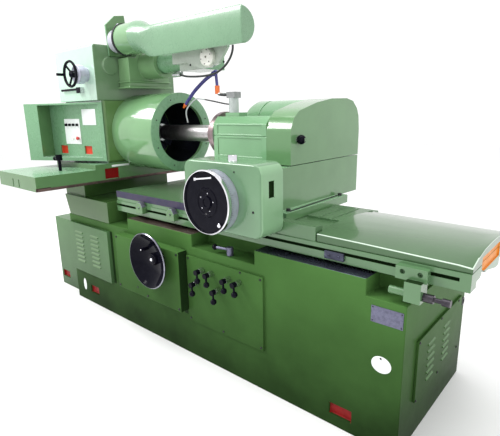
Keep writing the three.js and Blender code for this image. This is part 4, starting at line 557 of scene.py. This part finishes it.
# Table handwheel: a deep black pressed bowl with a polished rim edge, a stepped hub and a
# round grip inside it.
black_plastic = handled_finish("black_bakelite", (0.004, 0.004, 0.008), (0.012, 0.012, 0.018), gloss=0.08,
                               smear=0.3, shine=0.06)
wheel_at = (-138, apron_face, 512)
wheel_metal = handled_finish("chrome", (0.78, 0.78, 0.82), (0.5, 0.5, 0.55), gloss=0.07, metal=1.0, smear=0.3)
bowl = bmesh.new()
add_turned(bowl, [(0, -0.3), (30, -0.3), (30, -8), (91, -12), (134, -44), (142, -54), (147, -56), (147, -61),
                  (143, -64), (137, -60), (128, -48), (84, -20), (34, -15), (32, -22), (28, -29), (22, -29),
                  (20, -33), (0, -33)], "y", wheel_at, 96)
bowl = finished(bowl, "table_handwheel_bowl", black_plastic, "table_wheel")
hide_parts("table_handwheel")
rim_band = bmesh.new()
add_turned(rim_band, [(146.6, -57), (147.6, -57.5), (147.6, -61), (144, -64.6), (143, -64.3), (146.6, -60),
                      (146.6, -57)], "y", wheel_at, 96)
rim_metal = handled_finish("worn_chrome", (0.30, 0.30, 0.36), (0.12, 0.12, 0.15), gloss=0.16, metal=1.0)
finished(rim_band, "table_handwheel_rim", rim_metal, "table_wheel")
grip_angle, grip_reach = math.tau * 0.36, 67
grip_at = (wheel_at[0] + grip_reach * math.cos(grip_angle), apron_face - 14,
           wheel_at[2] + grip_reach * math.sin(grip_angle))
grip = bmesh.new()
add_turned(grip, [(0, 0), (7, 0), (7, -4), (9, -8), (9, -40), (6, -47), (0, -48)], "y", grip_at, 32)
finished(grip, "table_handwheel_grip", black_plastic, "table_wheel")
hub_cap = bmesh.new()
add_turned(hub_cap, [(0, -37), (6, -36.5), (9, -34), (9, -32.5)], "y", wheel_at, 32)
add_ball(hub_cap, 4, (grip_at[0], grip_at[1] - 47, grip_at[2]), sides=16)
finished(hub_cap, "table_handwheel_cap", wheel_metal, "table_wheel")

# Lever panel: a flat cast cover with six bright bosses, one for each control lever, held
# by socket screws at its corners and middle.
panel_face = -365.3
shaped("lever_panel", 2, [bed_enamel, bright_steel], areas=[lambda c, n: c.y < panel_face - 0.9])
screwed("lever_panel_screws", "base", "y", -1, [((x, panel_face, z), usual_head) for x, z in (
    (59, 542), (528, 542), (59, 218), (528, 218), (293, 218), (410, 548))])

# Control levers: each a black moulded ball on a short bar, turning on its bright boss.
for number in range(1, 7):
    shaped(f"control_lever_{number}", 1.5, [black_plastic, bright_steel], smooth=50, areas=[
        lambda c, n: c.y > panel_face - 36 and n.y > 0.5])

# End panel: sheet steel over the right end of the bed, with two columns of louvres.
# The upward louvre lips take their own lighter green: a painted highlight of their lit faces.
end_lit_lip_enamel = painted("end_lit_lip_enamel", (0.07, 0.15, 0.055), coat=0.0, shine=0.1)
end_face = 1169.4
shaped("end_louvre_panel", 1.2, [bed_enamel, end_lit_lip_enamel], areas=[
    lambda c, n: c.x > end_face + 1.2 and n.z > 0.1])
screwed("end_panel_screws", "base", "x", 1, [((end_face, y, z), usual_head) for y, z in (
    (-228, 414), (-228, 172), (6, 420), (230, 418), (262, 178), (10, 174))])

# Reversing lever: a cast hub on the bed between the pads, with a bright rod and a black ball.
reverser_ball = 253
shaped("reversing_lever", 2, [plate_metal, black_plastic], smooth=50, areas=[
    lambda c, n: c.x < reverser_ball])

# Bridge: the casting that carries the workhead over the left end of the bed, in a deep green that paints the
# shade under the tray.
shaped("workhead_bridge", 5, deep_enamel)

# Workhead slide: a broad cast tray with a ground way under its right edge, a primed pocket,
# a bare plate on its right end and a small ball lever beside it.
tray_right = -750
# A pale copy of the green: a painted highlight on faces that catch the light.
pale_highlight_enamel = painted("pale_highlight_green_enamel", (0.44, 0.62, 0.50), gloss=0.08, coat=0.8)
# Its top faces take the lighter green as a painted highlight.
shaped("workhead_slide", 3, [mid_enamel, red_primer, dark_iron, light_enamel], areas=[
    lambda c, n: inside(c, (tray_right - 15, -299, 857), (tray_right - 0.8, -201, 922)),
    lambda c, n: c.z < 858 and c.y < -635 and n.y < 0.5 and c.x > tray_right - 20,
    lambda c, n: n.z > 0.8])
slide_way = bmesh.new()
add_block(slide_way, (tray_right - 1, -712, 838.5), (tray_right + 1.4, 414, 854), bevel=0.5)
finished(slide_way, "slide_way", dark_iron, "workhead")
slide_plate = bmesh.new()
add_block(slide_plate, (tray_right - 0.2, -250, 928), (tray_right + 1.6, -127, 940), bevel=0.5)
finished(slide_plate, "slide_plate", white_tag, "workhead")
slide_knob = bmesh.new()
add_turned(slide_knob, [(0, 0), (5, 0), (5, 10), (3.5, 12), (3.5, 22)], "x", (tray_right, -118, 945), 24)
add_ball(slide_knob, 8, (tray_right + 28, -118, 945))
finished(slide_knob, "slide_ball_knob", bright_steel, "workhead")

# Headstock: the tall rounded casting that holds the work spindle. Its right faces take an olive copy of its
# green as painted shade, and its front the pale green as a painted highlight.
headstock_shade_enamel = painted("olive_shade_green_enamel", (0.085, 0.18, 0.05))
shaped("headstock_housing", 6, [mid_enamel, headstock_shade_enamel, pale_highlight_enamel], areas=[
    lambda c, n: n.x > 0.8, lambda c, n: n.y < -0.8])

# Console: a sheet metal wedge whose recessed face turns towards the operator, with two
# primed pockets low in the recess.
panel_turn = math.radians(11.9575)
panel_origin = Vector((-777.86, -285.34, 988))


def on_console(point):
    """A place on the console's recessed face in mm: x runs right, y goes in, z up from its floor."""
    moved = point - panel_origin
    return Vector((moved.x * math.cos(panel_turn) + moved.y * math.sin(panel_turn),
                   -moved.x * math.sin(panel_turn) + moved.y * math.cos(panel_turn), moved.z))


def in_console_pocket(c):
    p = on_console(c)
    return any(inside(p, (left, 0.8, 15), (left + 68, 9, 67)) for left in (-157, -379))


console_primer = handled_finish("console_primer", (0.62, 0.04, 0.008), (0.40, 0.02, 0.006), gloss=0.4,
                                smear_size=30)
# Its right faces take the darker green as painted shade, and its top and the right of its front the pale
# green as a painted highlight.
shaped("control_console", 3, [light_enamel, console_primer, mid_enamel, pale_highlight_enamel], areas=[
    lambda c, n: in_console_pocket(c),
    lambda c, n: n.x > 0.9,
    lambda c, n: n.z > 0.8 or (n.y < -0.9 and on_console(c).x > -20)])


def turn_to_console(bm):
    """Move a bmesh made flat at the origin, in metres, onto the console's face."""
    bmesh.ops.transform(bm, verts=bm.verts, matrix=Matrix.Translation(panel_origin / 1000) @ Matrix.Rotation(
        panel_turn, 4, "Z"))


blank_plate = bmesh.new()
add_block(blank_plate, (-149, -1.8, 193), (-31, -0.1, 288), bevel=0.6)
turn_to_console(blank_plate)
finished(blank_plate, "console_blank_plate", white_tag, "workhead")
lamp_glass = handled_finish("lamp_glass", (0.85, 0.86, 0.8), (0.6, 0.62, 0.6), gloss=0.05, smear=0.2,
                            coat=0.8)
lamp = bmesh.new()
add_turned(lamp, [(0, -9), (7, -7.5), (9, -4), (9, -2.5), (12, -2.5), (12, 0.2)], "y", (-249, 0, 113), 28)
turn_to_console(lamp)
finished(lamp, "console_lamp", lamp_glass, "workhead")

# Switch plate: white enamelled sheet with four rotary selectors and one red stop button.
shaped("switch_plate", 0.5, white_tag)
dials_middle, dial_pitch, dial_row, mark_reach = -245.5, 33, 195, 12
selector_marks = bmesh.new()
for index in range(4):
    mark_x = dials_middle + dial_pitch * (index - 1.5)
    for step in (-1, 0, 1):
        turn = math.radians(45 * step)
        x, z = mark_x + mark_reach * math.sin(turn), dial_row + mark_reach * math.cos(turn)
        add_block(selector_marks, (x - 0.6, -2.8, z - 1.6), (x + 0.6, -2.5, z + 1.6))
turn_to_console(selector_marks)
finished(selector_marks, "selector_marks", black_oxide, "workhead")
for number in range(1, 5):
    shaped(f"selector_switch_{number}", 0.6, black_plastic, smooth=40)
signal_red = handled_finish("signal_red", (0.60, 0.015, 0.012), (0.40, 0.01, 0.01), gloss=0.2, coat=0.4)
shaped("stop_button", 0.8, signal_red, smooth=50)

# Slide clamp lever: a blacked stud and hub with a slanting rod and a black ball.
shaped("slide_clamp_lever", 1.5, black_plastic, smooth=50)

# Chuck guard: a rolled steel drum with an inward lip, open to the wheel, enamelled outside; its inside is
# painted near-black as the shade within the drum. It is turned here with finer steps than the CAD solid.
drum_enamel = painted("drum_green_enamel", (0.15, 0.30, 0.14), gloss=0.07, coat=0.9)
drum_inner_shade = painted("drum_inner_shade_enamel", (0.012, 0.014, 0.02), worn_sheen=(0.02, 0.03, 0.02), coat=0.1,
                       shine=0.2)
spindle_up = 1130
guard_at = (-749.7, 0, spindle_up)
guard = bmesh.new()
add_turned(guard, [(226, 0), (228, 2), (228, 384), (226.5, 387.5), (223, 389), (172, 389), (170, 387),
                   (170, 366), (171, 365), (219, 365), (219, 0), (226, 0)], "x", guard_at, 128)
guard = finished(guard, "chuck_guard_drum", [drum_enamel, drum_inner_shade, light_enamel], "workhead")
# Faces inside the drum take the near-black painted shade.
for face in guard.data.polygons:
    out = math.hypot(face.center.y, face.center.z - guard_at[2] / 1000)
    if out < 0.2215 and face.center.x * 1000 < guard_at[0] + 366:
        face.material_index = 1
    elif face.normal.x > 0.7:
        face.material_index = 2
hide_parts("chuck_guard")


def on_circle(count, first, radius, across, up):
    """Even places round a circle in mm, the first one turned by that share of a step."""
    turns = [math.tau * (step + first) / count for step in range(count)]
    return [(across + radius * math.cos(turn), up + radius * math.sin(turn)) for turn in turns]


screwed("guard_lip_screws", "workhead", "x", 1, [
    ((guard_at[0] + 389, y, z), 4) for y, z in on_circle(8, 0.5, 199, 0, spindle_up)])

# Chuck: a turned steel plate with three stepped jaws. Its front and the jaws' fronts are dark oiled iron,
# dark also as painted shade deep in the guard.
chuck_front = -673.4
shaped("work_chuck", 1.5, [bright_steel, blued_iron], areas=[
    lambda c, n: c.x > chuck_front - 0.2 and n.x > 0.9])

# Face-wheel box: a cast gearbox on the headstock, its front in the pale green as a painted highlight, and the
# saddle that guides the ram.
box_side_enamel = painted("box_side_enamel", (0.115, 0.205, 0.105), coat=0.3)
box_front = min(v.co.y for v in frame["nodes"]["face_unit_box"].data.vertices) * 1000
shaped("face_unit_box", 6, [box_side_enamel, pale_highlight_enamel], areas=[
    lambda c, n: n.y < -0.5 and c.y < box_front + 8])
saddle_enamel = painted("saddle_green_enamel", (0.15, 0.28, 0.13), coat=0.3)
shaped("ram_saddle", 4, saddle_enamel)

# Ram: an enamelled bar with a bracket on it that carries the hood.
# Its top faces take the darker green: painted shade under the hood.
shaped("ram_bar", 5, [light_enamel, mid_enamel], areas=[lambda c, n: n.z > 0.8])
plate_front = -135.7
# The bracket's front is pale white enamel, made paler still as a painted highlight; its right and top faces
# take the lighter green.
bracket_white_sheen = handled_finish("bracket_white_sheen_enamel", (0.44, 0.50, 0.43), (0.26, 0.32, 0.25), gloss=0.25,
                               coat=0.4)
shaped("ram_bracket", 3, [bracket_white_sheen, light_enamel], areas=[lambda c, n: n.x > 0.8 or n.z > 0.8])
screwed("bracket_screws", "face_ram", "y", -1, [((x, plate_front, z), usual_head) for x, z in (
    (-100, 1600), (20, 1600), (128, 1600), (-110, 1480), (128, 1476))])

# Face-feed dial and handwheel: a chromed dial and a black wheel on the front of the box.
dial_steel = handled_finish("dial_satin_steel", (0.50, 0.51, 0.62), (0.28, 0.28, 0.36), gloss=0.3,
                            metal=0.55)
shaped("face_feed_dial", 0.8, dial_steel, smooth=40)
shaped("face_handwheel", 1, black_plastic, smooth=40)
ram_lever_foot = max(v.co.y for v in frame["nodes"]["ram_clamp_lever"].data.vertices) * 1000
shaped("ram_clamp_lever", 1.5, [black_plastic, bright_steel], smooth=50, areas=[
    lambda c, n: c.y > ram_lever_foot - 14])

# Hood: a welded sheet cover of D section, open below, that ends in a round drum at the left.
hood_enamel = painted("hood_green_enamel", (0.15, 0.28, 0.165), gloss=0.2, coat=0.3)
shaped("arm_housing", 2.5, hood_enamel)

# Face motor: three turned parts, a grey-violet motor body, a ring in black that paints the shadow at the
# motor's flange, and a green drum that runs into the hood.
motor_grey = handled_finish("motor_grey_enamel", (0.45, 0.45, 0.52), (0.33, 0.33, 0.40), gloss=0.14,
                            smear=0.3, coat=0.6)
ring_left, ring_right = -645, -630
shaped("face_motor", 1.5, [drum_enamel, motor_grey, black_oxide], smooth=40, areas=[
    lambda c, n: c.x < ring_left, lambda c, n: ring_left < c.x < ring_right])

# Motor mount plate: a flame cut plate, its front in the lighter green as a painted highlight.
shaped("motor_mount_plate", 3, [mid_enamel, light_enamel], areas=[lambda c, n: n.y < -0.5])

# Face-wheel disc: a ground steel flange on the wheel spindle.
disc_face = (27.3, -160, 1506)
disc_white = handled_finish("disc_satin_steel", (0.80, 0.80, 0.74), (0.62, 0.62, 0.56), gloss=0.3, metal=0.4)
shaped("face_spindle_disc", 1, disc_white, smooth=40)
screwed("disc_screws", "face_disc", "y", -1, [
    ((x, disc_face[1], z), 3) for x, z in on_circle(6, 0.25, 33, disc_face[0], disc_face[2])])

# Sliding table: a long planed casting with a guard over its right part, a bare bar along
# its left part, a primed recess in its end and a dark stop on its rail.
table_face, table_end = -300, 1335


def in_end_recess(c):
    return inside(c, (table_end - 7, -192, 712), (table_end - 0.5, 52, 766))


# Its front and right end take their own green as painted light, its pale rubbed edges are painted highlights,
# and the band of its T-slot takes the near-black painted shadow.
table_enamel = painted("table_green_enamel", (0.072, 0.145, 0.066), worn_sheen=(0.6, 0.7, 0.6), wear_sheen=1.6,
                       gloss=0.14, coat=0.1, shine=0.5, ior=1.3)
table_lit_front_enamel = painted("table_lit_front_enamel", (0.085, 0.18, 0.08), gloss=0.12, coat=0.3)
orange_primer = handled_finish("orange_primer", (0.72, 0.24, 0.01), (0.5, 0.15, 0.01), gloss=0.4,
                               smear_size=30)
table_bare = handled_finish("planed_table_iron", (0.02, 0.02, 0.055), (0.07, 0.045, 0.08), gloss=0.35,
                            shine=0.3, smear=0.6, smear_size=30, relief=0.2)
shaped("sliding_table", 2.5, [table_enamel, table_lit_front_enamel, table_bare, orange_primer,
                              channel_dark], areas=[
    lambda c, n: n.y < -0.7 or n.x > 0.7,
    lambda c, n: -641 < c.x < 151 and 761 < c.z < 801 and c.y < table_face - 0.5,
    lambda c, n: in_end_recess(c),
    lambda c, n: 711 < c.z < 725 and table_face - 5 < c.y < table_face + 40 and c.x > -630])
cover_enamel = painted("cover_green_enamel", (0.06, 0.125, 0.055), gloss=0.1, coat=0.45, ior=1.3)
# The cover's front and right edges take a pale green: a painted highlight along them.
cover_edge_highlight = painted("cover_edge_highlight_enamel", (0.52, 0.64, 0.53), gloss=0.1, coat=0.6)
shaped("table_end_cover", 7, [cover_enamel, orange_primer, cover_edge_highlight], areas=[
    lambda c, n: in_end_recess(c),
    lambda c, n: 0.2 < n.z < 0.93 and (n.y < -0.25 or n.x > 0.25)])
stop_face = table_face - 16
rail_stop = bmesh.new()
add_block(rail_stop, (811, stop_face, 690), (895, table_face - 6.2, 721), bevel=1.2)
for x in (832, 874):
    add_screw(rail_stop, (x, stop_face, 705), "y", -1, 6)
finished(rail_stop, "rail_stop", blued_iron, "table")

# Trip dogs: two green blocks with steel tops, clamped in the table's T-slot, and the bracket
# at its right end that carries the stop screw.
dog_steel = handled_finish("dog_steel", (0.30, 0.32, 0.36), (0.10, 0.10, 0.13), gloss=0.3, metal=0.9,
                           smear=0.9, smear_size=90)
for name in ("trip_dog_1", "trip_dog_2"):
    shaped(name, 1, [mid_enamel, dog_steel], areas=[lambda c, n: n.z > 0.2])
bracket_holes = ((1120, 689), (1170, 689))
# Its holes are lined with the near-black painted shadow.
shaped("right_trip_bracket", 2, [table_lit_front_enamel, channel_dark, dog_steel], areas=[
    lambda c, n: abs(n.y) < 0.3 and any(math.hypot(c.x - x, c.z - z) < 12 for x, z in bracket_holes),
    lambda c, n: c.x < 1105 and n.x < -0.7 and c.z < 665])
burnt_steel = handled_finish("burnt_steel", (0.035, 0.03, 0.04), (0.10, 0.09, 0.10), gloss=0.3, metal=0.6)
shaped("stop_screw", 0.6, burnt_steel, smooth=40)
shaped("table_end_lever", 1.5, [bright_steel, black_plastic], smooth=50, areas=[lambda c, n: c.z < 715])

# Cross-feed apron: the cast box in front of the table that carries the cross-feed
# handwheel, with a sight glass and an oil cup.
cross_face = -440.3
# Its right faces take a paler copy of its green as a painted highlight, and a strip near its right edge the
# near-black painted shadow.
apron_enamel = painted("apron_green_enamel", (0.12, 0.235, 0.125), gloss=0.1, coat=0.3)
apron_lit_side_enamel = painted("apron_lit_side_enamel", (0.20, 0.36, 0.20), gloss=0.1, coat=0.3)
shaped("cross_feed_apron", 4, [apron_enamel, apron_lit_side_enamel, channel_dark, wheel_metal], areas=[
    lambda c, n: n.x > 0.6,
    lambda c, n: inside(c, (585, -420, 880), (603.3, -330, 1010)),
    lambda c, n: c.z > 1049.5])
screwed("cross_feed_screws", "table", "y", -1, [((560, cross_face, 858), 5), ((462, cross_face, 1011), 3.5)])

# Cross-feed dial, handwheel and folding crank: a graduated chromed dial, a black dish with
# a thin chromed edge and a plated handle that folds into it.
shaped("cross_feed_dial", 0.8, dial_steel, smooth=40)
cross_at = (352, 0, 882.5)
dial_reach, dial_front, hub_front = 133, -480, -494
graduations = bmesh.new()
for step in range(100):
    turn = math.tau * step / 100
    deep = 14 if step % 10 == 0 else 7
    x, z = cross_at[0] + dial_reach * math.sin(turn), cross_at[2] + dial_reach * math.cos(turn)
    add_block(graduations, (x - 0.5, dial_front, z - 0.5), (x + 0.5, dial_front + deep, z + 0.5))
finished(graduations, "dial_graduations", black_oxide, "cross_wheel")
dish_at = (cross_at[0], -485, cross_at[2])
dish = bmesh.new()
add_turned(dish, [(0, 0), (136, 0), (136, -16), (133, -19), (129, -18), (126, -11), (64, -9), (60, -13),
                  (52, -13), (48, -9), (30, -9), (27, -16), (18, -16), (16, -12), (0, -12)], "y", dish_at, 96)
dish = finished(dish, "cross_handwheel_dish", black_plastic, "cross_wheel")
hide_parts("cross_handwheel")
dish_trim = bmesh.new()
add_turned(dish_trim, [(136.2, -1), (137, -2), (137, -17), (134, -20), (131.5, -19.6), (133, -17.5),
                       (136, -14), (136.2, -1)], "y", dish_at, 96)
add_turned(dish_trim, [(0, -3), (7, -3), (9, -6), (9, -12), (6, -15), (0, -15.5)], "y",
           (431, hub_front, 797), 20)
for x, z in on_circle(5, 0.1, 39, cross_at[0], cross_at[2]):
    add_screw(dish_trim, (x, hub_front, z), "y", -1, 2.6)
finished(dish_trim, "cross_handwheel_edge", wheel_metal, "cross_wheel")
shaped("crank_handle", 1, wheel_metal, smooth=50)

# Wheelhead: the carriage that slides across the table, with two black bolts in its flange,
# the spindle housing on it and the quill with its iron collars.
wheelhead_enamel = painted("wheelhead_green_enamel", (0.18, 0.36, 0.19), gloss=0.12, coat=0.5)
wheelhead_shadow = painted("wheelhead_side_enamel", (0.12, 0.25, 0.11), gloss=0.12, coat=0.5)
# The right faces of the carriage and housing take the darker side green as painted shade.
shaped("wheelhead_carriage", 4, [wheelhead_enamel, wheelhead_shadow, black_oxide], areas=[
    lambda c, n: n.x > 0.8, lambda c, n: c.x > 510 and 806.5 < c.z < 819])
shaped("spindle_housing", 4, [wheelhead_enamel, wheelhead_shadow], areas=[lambda c, n: n.x > 0.8])


def off_axis(c):
    """How far a face's middle lies from the work axis, in mm."""
    return math.hypot(c.y, c.z - spindle_up)


quill_iron = handled_finish("quill_iron", (0.66, 0.62, 0.64), (0.36, 0.30, 0.32), gloss=0.33, metal=1.0,
                            smear=0.5)
ring_iron = handled_finish("ring_iron", (0.30, 0.23, 0.24), (0.16, 0.11, 0.11), gloss=0.3, metal=0.9,
                           smear=0.7)
shaped("quill", 1.5, [quill_iron, ring_iron], smooth=40, areas=[lambda c, n: off_axis(c) > 52])

# Wheel arbor: a ground steel arbor with the cup wheel, a vitrified abrasive.
abrasive = handled_finish("grinding_abrasive", (0.42, 0.42, 0.45), (0.30, 0.30, 0.33), gloss=0.75,
                          smear_size=120, grain=1600, relief=0.9)
shaped("wheel_arbor", 0.8, [bright_steel, abrasive], smooth=40, areas=[
    lambda c, n: off_axis(c) > 46 and c.x < -555])

# Wheel motor, its pulley, the spindle's belt and the belt cover with its ball knob.
shaped("wheel_motor", 3, wheelhead_enamel, smooth=40)
shaped("motor_pulley", 1, quill_iron, smooth=40)
shaped("drive_belt", 0.8, black_rubber, smooth=40)
knob_at = (500, -52, 1117)
# The belt cover is all in the darker side green: painted shade.
shaped("belt_cover", 3, [wheelhead_shadow, black_plastic], smooth=36, areas=[
    lambda c, n: c.x > knob_at[0] + 1 and math.hypot(c.y - knob_at[1], c.z - knob_at[2]) > 6])
knob_collar = bmesh.new()
add_turned(knob_collar, [(9.5, 0.3), (15, 0.3), (15, 4), (12, 7), (9.5, 7), (9.5, 0.3)], "x", knob_at, 28)
finished(knob_collar, "knob_collar", wheel_metal, "cover")

# Coolant valve: a stack of fittings on the housing, each with its own finish.
valve_white = handled_finish("valve_white", (0.46, 0.50, 0.49), (0.28, 0.31, 0.31), gloss=0.2, coat=0.4)
hose_elbow = -20
valve_grey = handled_finish("valve_grey", (0.32, 0.33, 0.33), (0.18, 0.18, 0.19), gloss=0.3, metal=0.7)
shaped("coolant_valve", 0.8, [valve_white, hose_blue, fitting_orange, black_oxide, valve_grey,
                              wheelhead_enamel], smooth=45, areas=[
    lambda c, n: c.x < hose_elbow and c.z > 1373,
    lambda c, n: -50 < c.x < hose_elbow and 1338 < c.z < 1373,
    lambda c, n: (-50 < c.x < 54 and 1317 < c.z < 1337) or (-150 < c.x < 54 and 1260 < c.z < 1317),
    lambda c, n: c.z > 1317.5 and c.x > 53,
    lambda c, n: c.z < 1240.5 and c.x > 50])
